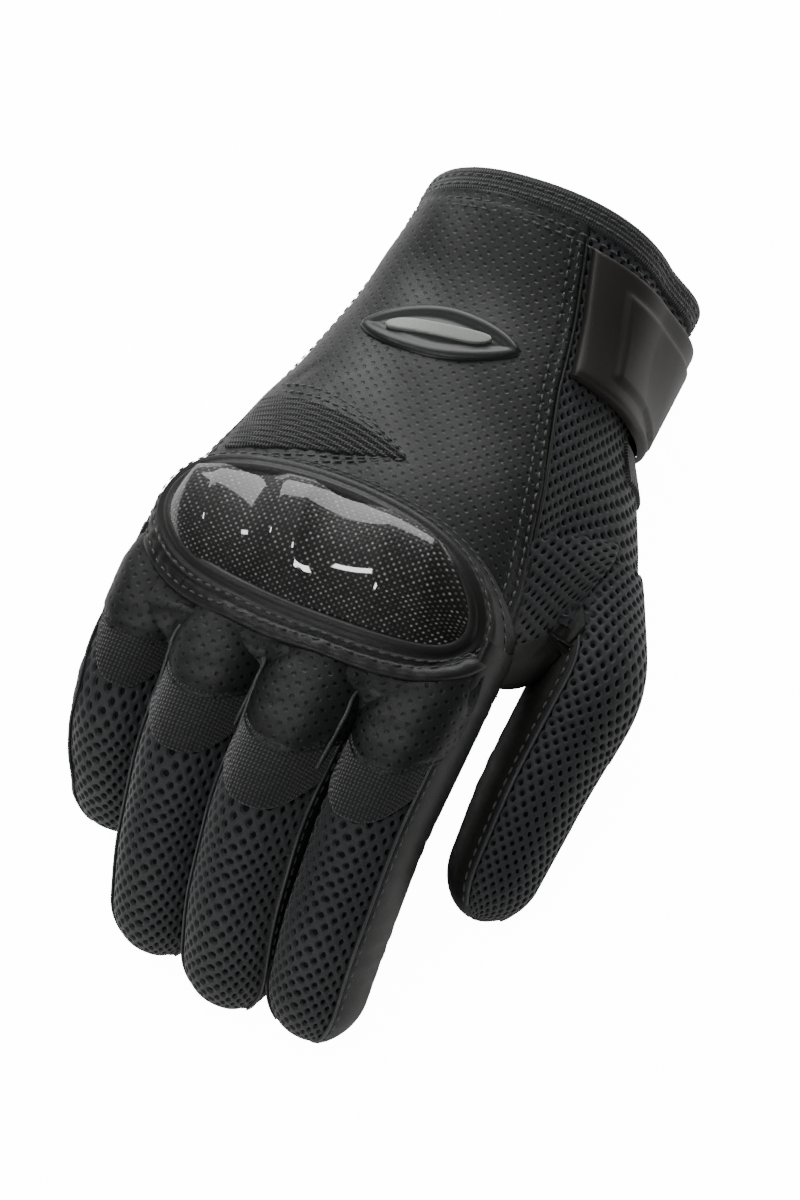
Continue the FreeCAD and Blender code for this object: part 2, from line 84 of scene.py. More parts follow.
def colour(text):  # sRGB hex to linear
    parts = [int(text[i:i + 2], 16) / 255 for i in (1, 3, 5)]
    return tuple(p / 12.92 if p < 0.04045 else ((p + 0.055) / 1.055) ** 2.4 for p in parts) + (1,)


def addNode(tree, kind, settings=None, values=None, links=None):
    node = tree.nodes.new("ShaderNode" + kind)
    for key, value in (settings or {}).items():
        setattr(node, key, value)
    for key, value in (values or {}).items():
        node.inputs[key].default_value = value
    for key, socket in (links or {}).items():
        tree.links.new(socket, node.inputs[key])
    return node


def newMaterial(name, values):
    material = bpy.data.materials.new(name)
    material.use_nodes = True
    tree = material.node_tree
    shader = tree.nodes["Principled BSDF"]
    for key, value in values.items():
        shader.inputs[key].default_value = value
    return material, tree, shader


def maths(tree, operation, first, second=None):
    node = addNode(tree, "Math", {"operation": operation})
    for i, item in enumerate((first, second)):
        if isinstance(item, (int, float)):
            node.inputs[i].default_value = item
        elif item is not None:
            tree.links.new(item, node.inputs[i])
    return node.outputs[0]


def vectors(tree, operation, item, other=None):
    return addNode(tree, "VectorMath", {"operation": operation}, {1: other} if other else None, {0: item}).outputs


def noise(tree, place, scale, detail, distortion=0.0):
    values = {"Scale": scale, "Detail": detail, "Distortion": distortion}
    return addNode(tree, "TexNoise", None, values, {"Vector": place}).outputs["Fac"]


def mixed(tree, factor, dark, light):  # dark and light are hex colours or sockets
    node = addNode(tree, "Mix", {"data_type": "RGBA"}, None, {"Factor": factor})
    for i, item in ((6, dark), (7, light)):
        if isinstance(item, str):
            node.inputs[i].default_value = colour(item)
        else:
            tree.links.new(item, node.inputs[i])
    return node.outputs[2]


def dress(tree, shader, paint, height, strength, depth):  # depth in mm
    bump = addNode(tree, "Bump", None, {"Strength": strength, "Distance": depth / 1000}, {"Height": height})
    tree.links.new(paint, shader.inputs["Base Color"])
    tree.links.new(bump.outputs[0], shader.inputs["Normal"])


# aniline goatskin with a thin shiny finish: pebbled grain, fine creases, softer sheen in the hollows;
# holes = (spacing, width) in mm of the punched rows
def leather(name, dark, light, rough, grain=0.9, depth=0.07, holes=None):
    material, tree, shader = newMaterial(name, {"Specular IOR Level": 0.42})
    place = addNode(tree, "TexCoord").outputs["Object"]
    paint = mixed(tree, noise(tree, place, 55.0, 3.0), dark, light)
    cells = addNode(tree, "TexVoronoi", {"feature": "DISTANCE_TO_EDGE"}, {"Scale": 1000 / grain},
                    {"Vector": place})
    edges = addNode(tree, "MapRange", None, {"From Max": 0.14}, {"Value": cells.outputs["Distance"]})
    creases = noise(tree, place, 240.0, 6.0)
    height = maths(tree, "ADD", maths(tree, "MULTIPLY", edges.outputs[0], 0.45), creases)
    height = maths(tree, "ADD", height, maths(tree, "MULTIPLY", noise(tree, place, 70.0, 2.0, 0.6), 2.2))
    gloss = addNode(tree, "MapRange", None, {"To Min": rough - 0.07, "To Max": rough + 0.12}, {"Value": creases})
    if holes:
        pitch, width = holes
        uv = addNode(tree, "TexCoord").outputs["UV"]
        near = []
        for shift in (0.0, 0.5):
            grid = addNode(tree, "Mapping", None,
                           {"Scale": (1000 / pitch, 1000 / pitch, 1), "Location": (shift, shift, 0)},
                           {"Vector": uv})
            middle = vectors(tree, "SUBTRACT", vectors(tree, "FRACTION", grid.outputs[0])[0], (0.5, 0.5, 0))[0]
            near.append(vectors(tree, "LENGTH", vectors(tree, "MULTIPLY", middle, (1, 1, 0))[0])["Value"])
        dot = addNode(tree, "MapRange", None,
                      {"From Min": width / pitch * 0.36, "From Max": width / pitch * 0.7},
                      {"Value": maths(tree, "MINIMUM", near[0], near[1])})
        height = maths(tree, "ADD", height, maths(tree, "MULTIPLY", dot.outputs[0], 3.0))
        # painted shade: each punched hole is painted near-black, over the dark lining showing through it
        paint = mixed(tree, dot.outputs[0], "#020202", paint)
    dress(tree, shader, paint, height, 0.55, depth)
    tree.links.new(gloss.outputs[0], shader.inputs["Roughness"])
    return material


# knitted or woven cloth: rows of raised yarn, pitch in mm; the deep colour is painted shade in the hollows between the
# rows
def cloth(name, tint, pitch, rough=0.8, sheen=0.25, stretch=1.0, deep="#060607"):
    material, tree, shader = newMaterial(name, {"Roughness": rough, "Sheen Weight": sheen})
    uv = addNode(tree, "TexCoord").outputs["UV"]
    grid = addNode(tree, "Mapping", None, {"Scale": (1000 / pitch, 1000 / pitch * stretch, 1)},
                   {"Vector": uv})
    rows = [addNode(tree, "TexWave", {"bands_direction": way}, {"Scale": 0.314, "Distortion": 0.5},
                    {"Vector": grid.outputs[0]}).outputs["Fac"] for way in ("X", "Y")]
    height = maths(tree, "MULTIPLY", rows[0], rows[1])
    # painted shade: the yarn goes darker towards the deep colour where it sinks between the raised rows
    dress(tree, shader, mixed(tree, height, deep, tint), height, 0.9, 0.3)
    return material


# carbon fabric in epoxy under a polished clear coat: crossed flat tows with a painted highlight, light grey on the
# crown of each tow lying on top, tow in mm
def carbonWeave(name, tow=0.98):
    material, tree, shader = newMaterial(name, {"Roughness": 0.42, "Coat Weight": 1.0, "Coat Roughness": 0.035,
                                                "Coat IOR": 1.5, "Specular IOR Level": 0.3})
    place = addNode(tree, "TexCoord").outputs["UV"]
    grid = addNode(tree, "Mapping", None, {"Scale": (1000 / tow,) * 3}, {"Vector": place})
    axes = addNode(tree, "SeparateXYZ", None, None, {"Vector": grid.outputs[0]})
    steps = [maths(tree, "FLOOR", axes.outputs[i]) for i in (0, 1)]
    rounds = [maths(tree, "SINE", maths(tree, "MULTIPLY", maths(tree, "FRACT", axes.outputs[i]), math.pi))
              for i in (0, 1)]
    odd = maths(tree, "FLOORED_MODULO", maths(tree, "ADD", steps[0], steps[1]), 2.0)
    over = maths(tree, "LESS_THAN", odd, 0.5)
    crown = maths(tree, "MULTIPLY", rounds[0], rounds[1])
    cell = vectors(tree, "FLOOR", grid.outputs[0])[0]
    chance = addNode(tree, "TexWhiteNoise", {"noise_dimensions": "3D"}, None, {"Vector": cell})
    # painted highlight: light grey on the crowns of the tows on top, faint on those beneath, stronger or weaker at
    # random per cell
    paintedGlint = maths(tree, "MULTIPLY", maths(tree, "POWER", crown, 2.6),
                  maths(tree, "ADD", maths(tree, "MULTIPLY", over, 0.95), 0.04))
    uneven = maths(tree, "ADD", maths(tree, "POWER", chance.outputs["Value"], 1.5), 0.18)
    paintedGlint = maths(tree, "MULTIPLY", paintedGlint, uneven)
    dress(tree, shader, mixed(tree, paintedGlint, "#050505", "#8a8d88"), crown, 0.5, 0.15)
    return material


# yarn, thread, rubber, film: fine uneven grain, about size mm across
def grained(name, dark, light, rough, size=0.35, depth=0.05, **values):
    settings = {"Roughness": rough}
    settings.update({key.replace("_", " "): value for key, value in values.items()})
    material, tree, shader = newMaterial(name, settings)
    place = addNode(tree, "TexCoord").outputs["Object"]
    grain = noise(tree, place, 1000 / size, 3.0)
    dress(tree, shader, mixed(tree, grain, dark, light), grain, 0.4, depth)
    return material


goatskin = leather("goatskin leather", "#0e0f0e", "#1e201e", 0.40)
goatskinHoles = leather("perforated goatskin leather", "#0f1110", "#1e211f", 0.40, holes=(3.4, 0.85))
palmLeather = leather("palm goatskin leather", "#0b0c0b", "#161715", 0.44)
suede = leather("suede overlay", "#121110", "#1d1b1a", 0.85, grain=0.5)
airMesh = grained("polyester air mesh yarn", "#131415", "#26282a", 0.62, 0.3, 0.06, Sheen_Weight=0.15)
# painted shade: near-black for the floors of the air mesh pits and the insides of the fingers seen through the holes
holeShade = grained("painted shade in air mesh holes", "#020202", "#060607", 0.95, 0.6)
knit = cloth("stretch knit", "#232526", 0.9)
tape = cloth("woven binding tape", "#26292a", 0.7, rough=0.65, stretch=0.6)
liningCloth = cloth("brushed tricot lining", "#161618", 1.1, rough=0.95)
strapRubber = grained("moulded rubber", "#191715", "#24211f", 0.42, 0.5, 0.04)
emblemRubber = grained("moulded rubber emblem", "#121413", "#1c1f1d", 0.34, 0.5, 0.03)
carbon = carbonWeave("carbon fabric in clear coat")
thread = grained("bonded nylon thread", "#202322", "#3c3f3d", 0.42, 0.25, 0.03, Sheen_Weight=0.2)
# painted highlight: piping and bound edges are painted light grey, standing in for light caught on the rolled edges
litEdge = grained("burnished leather edge", "#222321", "#45474a", 0.34, 0.5, 0.04)
reflective = grained("reflective film", "#6f726e", "#8c8f8a", 0.36, 0.4, 0.02, Metallic=0.3)
print("materials made")

# surfaces, in mm: each takes two places on it and a height above it
hand = {
    "y": (-140, -135, -130, -122, -92, -60, -46, -30, 0, 4),
    "half": (36, 42, 46.5, 48, 46, 43.2, 40, 36.4, 33.2, 33.2),
    "shift": (0, 0, 0, 0, 0, 3, 3.2, 2.7, 2.9, 2.9),
    "rise": (4, 7.5, 12.5, 17, 24, 28, 27, 25.4, 28, 28.4),
    "centre": (12, 12.5, 13, 13.6, 5.6, -2.4, -2.2, -1.4, 0, 0),
    "rootY": (-120, -103, -92, -80, -66, -54, -40), "rootX": (62, 61, 55.5, 46.5, 37, 29, 15),
    "rootWide": (12, 13.4, 14.4, 16.4, 19.5, 21.5, 27), "rootTall": (12, 12.8, 14.2, 16.4, 18.4, 19, 17),
    "rootZ": (-9.7, -9.7, -9.6, -9.5, -9.0, -8.5, -6),
}


def soften(y, key, reach=6.0):
    return sum(np.interp(y + k * reach, hand["y"], hand[key]) for k in (-1, -0.5, 0, 0.5, 1)) / 5


def handRadius(y, phi):
    a, b, shift, centre = (soften(y, key) for key in ("half", "rise", "shift", "centre"))
    cx, cz, rx, rz = (np.interp(y, hand["rootY"], hand[key]) for key in ("rootX", "rootZ", "rootWide", "rootTall"))
    cx = cx - shift
    end = np.sqrt(np.clip(1 - (np.clip(-97 - y, 0, None) / 11) ** 2, 1e-4, 1))
    rx, rz = rx * end, rz * end
    total = 0
    for k in (-6, -3, 0, 3, 6):
        s, c = np.sin(phi + rad(k)), np.cos(phi + rad(k))
        palm = (np.abs(s / a) ** 2.3 + np.abs(c / b) ** 2.3) ** (-1 / 2.3)
        p, q = (s / rx) ** 2 + (c / rz) ** 2, -s * cx / rx ** 2 + c * (centre - cz) / rz ** 2
        w = (cx / rx) ** 2 + ((centre - cz) / rz) ** 2 - 1
        inside = q * q - p * w
        root = np.where(inside > 0, (-q + np.sqrt(np.clip(inside, 0, None))) / p, 0)
        total = total + np.maximum(palm, root)
    return total / 5, shift, centre


def handSurface(y, phi, h):
    y, phi = np.asarray(y, float), np.asarray(phi, float)

    def point(yy, pp):
        radius, shift, centre = handRadius(yy, pp)
        return np.stack([shift + radius * np.sin(pp), yy + 0 * radius, centre + radius * np.cos(pp)], -1)

    here = point(y, phi)
    normal = np.cross(point(y + 0.6, phi) - point(y - 0.6, phi), point(y, phi + 0.02) - point(y, phi - 0.02))
    normal /= np.linalg.norm(normal, axis=-1, keepdims=True)
    normal *= np.sign((normal * np.stack([np.sin(phi), 0 * phi, np.cos(phi)], -1)).sum(-1, keepdims=True))
    return here + normal * np.asarray(h)[..., None]


def angleOf(x, y):  # the angle round the hand at which the back lies over x
    low, high = np.full(np.shape(x), -1.55), np.full(np.shape(x), 1.55)
    for _ in range(30):
        middle = (low + high) / 2
        radius, shift = handRadius(y, middle)[:2]
        less = shift + radius * np.sin(middle) < x
        low, high = np.where(less, middle, low), np.where(less, high, middle)
    return (low + high) / 2


def overPlan(top):  # turns a height over the plan into a surface
    def surface(x, y, h):
        x, y = np.broadcast_arrays(np.asarray(x, float), np.asarray(y, float))

        def point(px, py):
            return np.stack([px, py, top(px, py)], -1)

        normal = np.cross(point(x + 0.4, y) - point(x - 0.4, y), point(x, y + 0.4) - point(x, y - 0.4))
        normal /= np.linalg.norm(normal, axis=-1, keepdims=True)
        return point(x, y) + normal * np.asarray(h)[..., None]
    return surface


class Finger:  # a bent tube with an elliptical section and a rounded end
    def __init__(self, points, wide, tall, bend=9.0, twist=0.0, lead=14.0, cap=None, square=1.0):
        self.square = square
        points = [np.array(p, float) for p in points]
        self.tipRadius = wide[-1]
        self.cap = cap or wide[-1]
        last = points[-1] - points[-2]
        points[-1] = points[-1] - last / np.linalg.norm(last) * (self.cap - self.tipRadius)
        lengths = [np.linalg.norm(b - a) for a, b in zip(points, points[1:])]
        ways = [(b - a) / n for a, b, n in zip(points, points[1:], lengths)]
        self.total = sum(lengths)
        self.knots = np.concatenate([[0], np.cumsum(lengths)])
        self.s = np.arange(-lead, self.total + 0.01, 0.5)
        direction = np.zeros((len(self.s), 3))
        for i, s in enumerate(self.s):
            way = ways[0].copy()
            for j in range(1, len(lengths)):
                t = np.clip((s - self.knots[j] + bend) / (2 * bend), 0, 1)
                way = way + (ways[j] - ways[j - 1]) * t * t * (3 - 2 * t)
            direction[i] = way / np.linalg.norm(way)
        steps = np.vstack([[0, 0, 0], (direction[1:] + direction[:-1]) / 2 * 0.5])
        self.centre = np.cumsum(steps, 0)
        self.centre += points[0] - self.at(self.centre, 0.0)
        self.way = direction
        up = np.array([0, 0, 1.0]) - direction * direction[:, 2:3]
        up /= np.linalg.norm(up, axis=1, keepdims=True)
        sideways = np.cross(up, direction)
        c, s = math.cos(twist), math.sin(twist)
        self.up, self.side = up * c + sideways * s, sideways * c - up * s
        self.wide, self.tall = wide, tall
        self.end = self.total + self.cap * math.pi / 2

    def at(self, table, s):
        return np.stack([np.interp(s, self.s, table[:, k]) for k in range(3)], -1)

    def __call__(self, s, turn, h):
        s, turn, h = np.broadcast_arrays(np.asarray(s, float), turn, h)
        body = np.minimum(s, self.total)
        grid = np.linspace(0, self.total, len(self.wide))
        wide = np.interp(body, grid, self.wide)[..., None]
        tall = np.interp(body, grid, self.tall)[..., None]
        h = h[..., None]
        phi = np.clip((s - self.total) / self.cap, 0, math.pi / 2)[..., None]
        centre, way, up, side = (self.at(table, body) for table in (self.centre, self.way, self.up, self.side))
        across, above = (np.sign(f) * np.abs(f) ** self.square for f in (np.sin(turn), np.cos(turn)))
        ring = side * (wide + h) * across[..., None] + up * (tall + h) * above[..., None]
        return centre + ring * np.cos(phi) + way * np.sin(phi) * (self.cap + h)


def finishPiece(bm, name, material, motion, replaces=(), slot=None, extra=(), fill=None):
    mesh = bpy.data.meshes.new(name)
    bm.normal_update()
    bm.to_mesh(mesh)
    bm.free()
    mesh.polygons.foreach_set("use_smooth", [True] * len(mesh.polygons))
    for item in (material, *extra):
        mesh.materials.append(item)
    piece = addObject(name, mesh)
    if len(motion) == 1:
        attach(piece, motion[0])
    else:
        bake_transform(piece)
    if replaces:
        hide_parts(*replaces)
    return piece


def gaps(points, axis=0):  # distances between neighbouring points
    return np.linalg.norm(np.diff(points, axis=axis), axis=-1)


def spacing(length, step, roll, rollStart, rollEnd):
    near = [k * roll for k in (0, 0.12, 0.35, 0.7, 1.15)]
    start = near if rollStart else [0]
    end = [length - k for k in reversed(near)] if rollEnd else [length]
    if end[0] - start[-1] < step:
        return np.linspace(0, length, max(4, int(length / step) + 2))
    inner = np.linspace(start[-1], end[0], max(2, int(round((end[0] - start[-1]) / step)) + 1))
    return np.concatenate([start[:-1], inner, end[1:]])


# a sheet laid on a surface: domain maps the unit square to it, rolls names the turned edges, relief(u, v, s, t,
# distance to a turned edge, run along u, run along v) adds to its height, plan lays out the pattern
def panel(name, surface, domain, material, motion, rise=0.9, roll=1.3, step=1.4, rolls="uUvV", relief=None,
          base=0.0, count=None, flip=False, plan=None, fill=None, **rest):
    line = np.linspace(0, 1, 41)
    half = 0 * line + 0.5
    lengthU = gaps(surface(*domain(line, half), half * 0)).sum()
    lengthV = gaps(surface(*domain(half, line), half * 0)).sum()
    us = spacing(lengthU, step, roll, "u" in rolls, "U" in rolls) / lengthU
    vs = spacing(lengthV, step if count is None else lengthV / count, roll, "v" in rolls, "V" in rolls) / lengthV
    bm = bmesh.new()
    bmesh.ops.create_grid(bm, x_segments=len(us) - 1, y_segments=len(vs) - 1, size=1.0)
    places = np.array([v.co[:2] for v in bm.verts])
    iu = np.rint((places[:, 0] + 1) / 2 * (len(us) - 1)).astype(int)
    iv = np.rint((places[:, 1] + 1) / 2 * (len(vs) - 1)).astype(int)
    gridU, gridV = np.meshgrid(us, vs, indexing="ij")
    s, t = domain(gridU, gridV)
    flat = surface(s, t, 0 * s)
    runU = np.concatenate([np.zeros((1, len(vs))), np.cumsum(gaps(flat), 0)])
    runV = np.concatenate([np.zeros((len(us), 1)), np.cumsum(gaps(flat, 1), 1)], 1)
    near = np.full(s.shape, 1e3)
    for letter, distance in (("u", runU), ("U", runU[-1:] - runU), ("v", runV), ("V", runV[:, -1:] - runV)):
        if letter in rolls:
            near = np.minimum(near, distance)
    share = np.clip(near / roll, 0, 1)
    height = base + rise * np.sqrt(1 - (1 - share) ** 2) - np.where(near < 1e-6, 0.6, 0)
    if relief is not None:
        height = height + relief(gridU, gridV, s, t, near, runU, runV)
    shaped = surface(s, t, height)
    for v, co in zip(bm.verts, shaped[iu, iv] / 1000):
        v.co = co
    uv = np.stack([runU + s[0, 0], runV - runV[:, -1:] / 2], -1)[iu, iv] / 1000
    if plan:
        uv = plan(shaped[iu, iv]) / 1000
    layer = bm.loops.layers.uv.new("pattern")
    for face in bm.faces:
        for loop in face.loops:
            loop[layer].uv = uv[loop.vert.index]
    if flip:
        bmesh.ops.reverse_faces(bm, faces=bm.faces)
    if fill:  # a padded piece is closed below
        rim = [edge for edge in bm.edges if edge.is_boundary]
        bmesh.ops.triangle_fill(bm, use_beauty=True, edges=rim)
        bmesh.ops.recalc_face_normals(bm, faces=bm.faces)
    return finishPiece(bm, name, material, motion, fill=fill, **rest)


def onHand(name, domain, material, **rest):
    return panel(name, handSurface, domain, material, ("hand",), **rest)


# one flat swatch of air mesh, cut to size for every mesh panel
airMeshCut = {"size": 122.0, "long": 3.6, "wide": 3.1, "yarn": 0.25, "rolled": 0.1, "depth": -0.95}
flatCloth = bmesh.new()
cells = int(airMeshCut["size"] * 1.5 / 2.1)
bmesh.ops.create_grid(flatCloth, x_segments=cells, y_segments=cells, size=cells / 2)
bmesh.ops.rotate(flatCloth, verts=flatCloth.verts, matrix=Matrix.Rotation(math.pi / 4, 3, "Z"))
bmesh.ops.scale(flatCloth, verts=flatCloth.verts,
                vec=(airMeshCut["long"] / math.sqrt(2), airMeshCut["wide"] / math.sqrt(2), 1))


def trim(bm, place, normal):
    bmesh.ops.bisect_plane(bm, geom=bm.verts[:] + bm.edges[:] + bm.faces[:], plane_co=place, plane_no=normal,
                           clear_outer=True)


for side in (1, -1):
    trim(flatCloth, (side * airMeshCut["size"] / 2, 0, 0), (side, 0, 0))
    trim(flatCloth, (0, side * airMeshCut["size"] * 0.3, 0), (0, side, 0))
whole = [f for f in flatCloth.faces if len(f.verts) == 4]
bmesh.ops.inset_individual(flatCloth, faces=whole, thickness=airMeshCut["yarn"], depth=0.14, use_even_offset=True)
bmesh.ops.inset_individual(flatCloth, faces=whole, thickness=airMeshCut["rolled"], depth=airMeshCut["depth"],
                           use_even_offset=True)
# the pit floors take the second material, near-black painted shade
for face in whole:
    face.material_index = 1
swatch = bpy.data.meshes.new("swatch")
flatCloth.to_mesh(swatch)
flatCloth.free()
swatchHolder = addObject("swatch", swatch)
smooth = swatchHolder.modifiers.new("round", "SUBSURF")
smooth.levels = smooth.render_levels = 1
roundSwatch = bpy.data.meshes.new_from_object(swatchHolder.evaluated_get(bpy.context.evaluated_depsgraph_get()))
bpy.data.objects.remove(swatchHolder)
print("air mesh swatch", len(roundSwatch.polygons), "faces")


# air mesh cut to size = (length, width) in mm and laid on a surface; window keeps part of its length
def meshPanel(name, surface, domain, motion, size, window=(0, 1), base=0.5, **rest):
    bm = bmesh.new()
    bm.from_mesh(roundSwatch)
    lengthU, lengthV = size
    trim(bm, ((window[0] - 0.5) * lengthU, 0, 0), (-1, 0, 0))
    trim(bm, ((window[1] - 0.5) * lengthU, 0, 0), (1, 0, 0))
    trim(bm, (0, -lengthV / 2, 0), (0, -1, 0))
    trim(bm, (0, lengthV / 2, 0), (0, 1, 0))
    co = np.array([v.co for v in bm.verts])
    s, t = domain(co[:, 0] / lengthU + 0.5, co[:, 1] / lengthV + 0.5)
    for v, place in zip(bm.verts, surface(s, t, co[:, 2] + base) / 1000):
        v.co = place
    return finishPiece(bm, name, airMesh, motion, extra=(holeShade,), **rest)


# rows of thread: runs of (surface, s, t, height), where s or t may be one number for the whole row
def stitches(name, runs, motion, length=2.1, gap=0.75, thick=0.28, **rest):
    bm = bmesh.new()
    for surface, s, t, height in runs:
        fine = np.linspace(0, 1, 400)
        s, t = (np.interp(fine, np.linspace(0, 1, np.size(row)), np.atleast_1d(row)) for row in (s, t))
        line = surface(s, t, 0 * s + height)
        lift = surface(s, t, 0 * s + height + 0.5) - line
        run = np.concatenate([[0], np.cumsum(gaps(line))])
        total = int(run[-1] / (length + gap))
        for k in range(total):
            middle = (k + 0.5) * run[-1] / total
            centre = Vector([np.interp(middle, run, line[:, i]) for i in range(3)])
            i = min(int(np.searchsorted(run, middle)), len(run) - 1)
            way = Vector(line[min(i + 2, len(run) - 1)] - line[max(i - 2, 0)]).normalized()
            up = Vector(lift[i]).normalized()
            side = up.cross(way).normalized()
            up = way.cross(side)
            turn = Matrix((way * length * 0.56, side * thick, up * thick * 0.8)).transposed().to_4x4()
            place = Matrix.Scale(0.001, 4) @ Matrix.Translation(centre) @ turn
            bmesh.ops.create_icosphere(bm, subdivisions=1, radius=1.0, matrix=place)
    return finishPiece(bm, name, thread, motion, **rest)


def cords(name, paths, radius, material, motion, **rest):  # round edges through points, in mm
    curve = bpy.data.curves.new(name, "CURVE")
    curve.dimensions = "3D"
    curve.bevel_depth = radius / 1000
    curve.bevel_resolution = 1
    curve.use_fill_caps = True
    for points in paths:
        spline = curve.splines.new("NURBS")
        spline.points.add(len(points) - 1)
        for target, point in zip(spline.points, points):
            target.co = (*(np.array(point) / 1000), 1)
        spline.use_endpoint_u = True
        spline.order_u = 3
        spline.resolution_u = 3
    holder = addObject(name, curve)
    mesh = bpy.data.meshes.new_from_object(holder.evaluated_get(bpy.context.evaluated_depsgraph_get()))
    bpy.data.objects.remove(holder)
    bm = bmesh.new()
    bm.from_mesh(mesh)
    bpy.data.meshes.remove(mesh)
    return finishPiece(bm, name, material, motion, **rest)


def between(low, high):
    return lambda u, v: (low[0] + (high[0] - low[0]) * u, low[1] + (high[1] - low[1]) * v)


def step01(x):
    x = np.clip(x, 0, 1)
    return x * x * (3 - 2 * x)


def dip(x, width):
    return np.exp(-(x / width) ** 2)


def creased(knot, deep, pace, width, skew=0.0, groove=0.0):  # folds across a bend, and a groove along the edges
    return lambda u, v, s, t, near, a, b: (deep * np.sin((s - knot) * pace + skew * t) * dip(s - knot, width)
                                           - groove * dip(near - 2.4, 0.5))


def bendZone(tube, knot, reach):  # where the blend from one body to the next starts and ends
    return [tube.at(tube.centre, np.array(knot + k)) / 1000 for k in (-reach, reach)]


handMove = ("hand",)
back = {"start": -3.6, "end": -128, "palmEnd": -130}
lined = {"rise": 0, "rolls": "", "step": 2.5, "slot": "lining_tricot"}
seam = {"y": np.array([4, -9, -27, -48, -74, -100, -118, -132]),
        "x": np.array([18, 20, 25, 30, 38, 44.5, 47, 45])}
edges = {"pinky": rad(-76), "low": rad(116)}


def seamX(y):
    return np.interp(-np.asarray(y, float), -seam["y"], seam["x"])


def seamAngle(y):
    return angleOf(seamX(y), y)


def backDomain(u, v):
    y = back["start"] + (back["end"] - back["start"]) * u
    return y, edges["pinky"] + (seamAngle(y) - edges["pinky"]) * v


def backRelief(u, v, s, t, near, runU, runV):
    slack = 0.3 * np.sin(s * 0.19 + 3 * t) * np.sin(t * 5 + s * 0.07)
    creases = -0.5 * dip(t + 0.95 - 0.1 * np.sin(s * 0.3), 0.05) * dip(s + 68, 9)
    return slack + creases - 0.4 * dip(near - 2.6, 0.7)


onHand("back_leather", backDomain, goatskinHoles, rise=1.0, roll=1.4, step=1.3, relief=backRelief,
       replaces=("back_leather",), slot="goatskin_back")
onHand("hand_lining", between((1, rad(-180)), (-127, rad(180))), liningCloth, base=-0.7, replaces=("lining",), **lined)

sideMesh = {"start": -3.5, "length": 96.0, "width": 48.0}


def wristMeshDomain(u, v):
    y = sideMesh["start"] - sideMesh["length"] * u
    start = seamAngle(y) - rad(2)
    return y, start + (edges["low"] - start) * v


meshPanel("wrist_mesh", handSurface, wristMeshDomain, handMove, (sideMesh["length"], sideMesh["width"]), base=0.3,
          replaces=("thumb_side_mesh",), slot="air_mesh")
onHand("palm_leather", between((back["start"], edges["low"] - rad(2)), (back["palmEnd"], rad(284))), palmLeather,
       rise=0.9,
       replaces=("palm_leather", "thumb_root_palm", "pinky_side_leather"), slot="goatskin_palm",
       relief=lambda u, v, s, t, near, a, b: 0.35 * np.sin(s * 0.16) * np.sin(t * 4) - 0.3 * dip(near - 2.4, 0.6))


def webDomain(u, v):
    y = -91 - 32 * u
    far = rad(82) + (edges["low"] + rad(3) - rad(82)) * step01((-99 - y) / 9)
    start = seamAngle(y) - rad(1)
    return y, start + (far - start) * v


onHand("web_leather", webDomain, palmLeather, rise=0.8, base=0.5, slot="goatskin_back",
       relief=lambda u, v, s, t, near, a, b: 0.4 * np.sin(a * 0.7 + b * 0.3) * dip(near - 9, 6))

rows = np.linspace(-9, -126, 60)
runs = [(handSurface, rows, angleOf(seamX(rows) - shift, rows), 1.0) for shift in (1.6, 3.6)]
runs += [(handSurface, rows, edges["pinky"] + rad(4), 0.95), (handSurface, rows, rad(281), 0.9)]
stitches("back_stitches", runs, handMove)
sideRows = np.linspace(-9, -92, 50)
cords("back_seam_edge", [handSurface(sideRows, angleOf(seamX(sideRows) + 0.2, sideRows), 0.6)], 0.5, goatskin,
      handMove)

# cuff: bound edge with two rows of thread, and two rows of seam behind it across the back
cuff = {"edge": 2.2, "deep": 7.2, "lined": 40, "rows": (-0.6, -3.2), "seams": (7.4, 9.6)}
cuffTurn = np.linspace(-math.pi, math.pi, 90)
onHand("cuff_binding", lambda u, v: (cuff["edge"] - cuff["deep"] * v, -math.pi + 2 * math.pi * u), tape,
       rise=1.5, roll=1.6, step=1.2, rolls="vV", flip=True, replaces=("cuff_binding",), slot="cuff_tape",
       relief=lambda u, v, s, t, near, a, b: sum(-0.35 * dip(s - row, 0.4) for row in cuff["rows"]))
onHand("cuff_inside", lambda u, v: (cuff["edge"] - 0.2 - cuff["lined"] * v, -math.pi + 2 * math.pi * u),
       liningCloth, base=-1.6, **lined)
stitches("cuff_stitches", [(handSurface, row, cuffTurn, 1.4) for row in cuff["rows"]] +
         [(handSurface, -row, cuffTurn[22:68], 1.05) for row in cuff["seams"]], handMove)


# stretch inset: ribbed knit in a leaf-shaped window
inset = {"x": -37, "y": -83.5, "long": 45, "half": 9.0, "rib": 1.7}


def insetDomain(u, v):
    x = inset["x"] + inset["long"] * u
    half = inset["half"] * (1 - np.clip(u, 0, 1) ** 1.8) + 0.3
    y = inset["y"] + 0.5 * np.sin(u * 3) + half * (1 - 2 * v)
    return y, angleOf(x, y)


onHand("stretch_inset", insetDomain, knit, rise=0.5, base=0.9, roll=0.8, step=0.45, slot="ribbed_knit",
       relief=lambda u, v, s, t, near, a, b: 0.26 * np.sin(b * 2 * math.pi / inset["rib"]),
       replaces=("stretch_inset",))
share = np.linspace(0, 1, 40)
runs = [(handSurface, *insetDomain(share, edge), 1.05) for edge in (-0.11, 1.11, -0.26, 1.26)]
stitches("inset_stitches", runs, handMove)
print("hand panels")

# wrist strap: moulded rubber with a raised plate, standing a little proud at the side of the wrist
strap = {"near": -9.5, "wide": 33.5, "split": rad(108), "end": rad(205), "thick": 2.2, "lift": 0.7, "proud": 2.4,
         "frame": 6.5, "plate": 0.9, "slope": 0.9}


def strapDomain(start, end):
    def domain(u, v):
        y = strap["near"] - strap["wide"] * u
        first = seamAngle(y) + rad(3) if start is None else start
        return y, first + (end - first) * v
    return domain


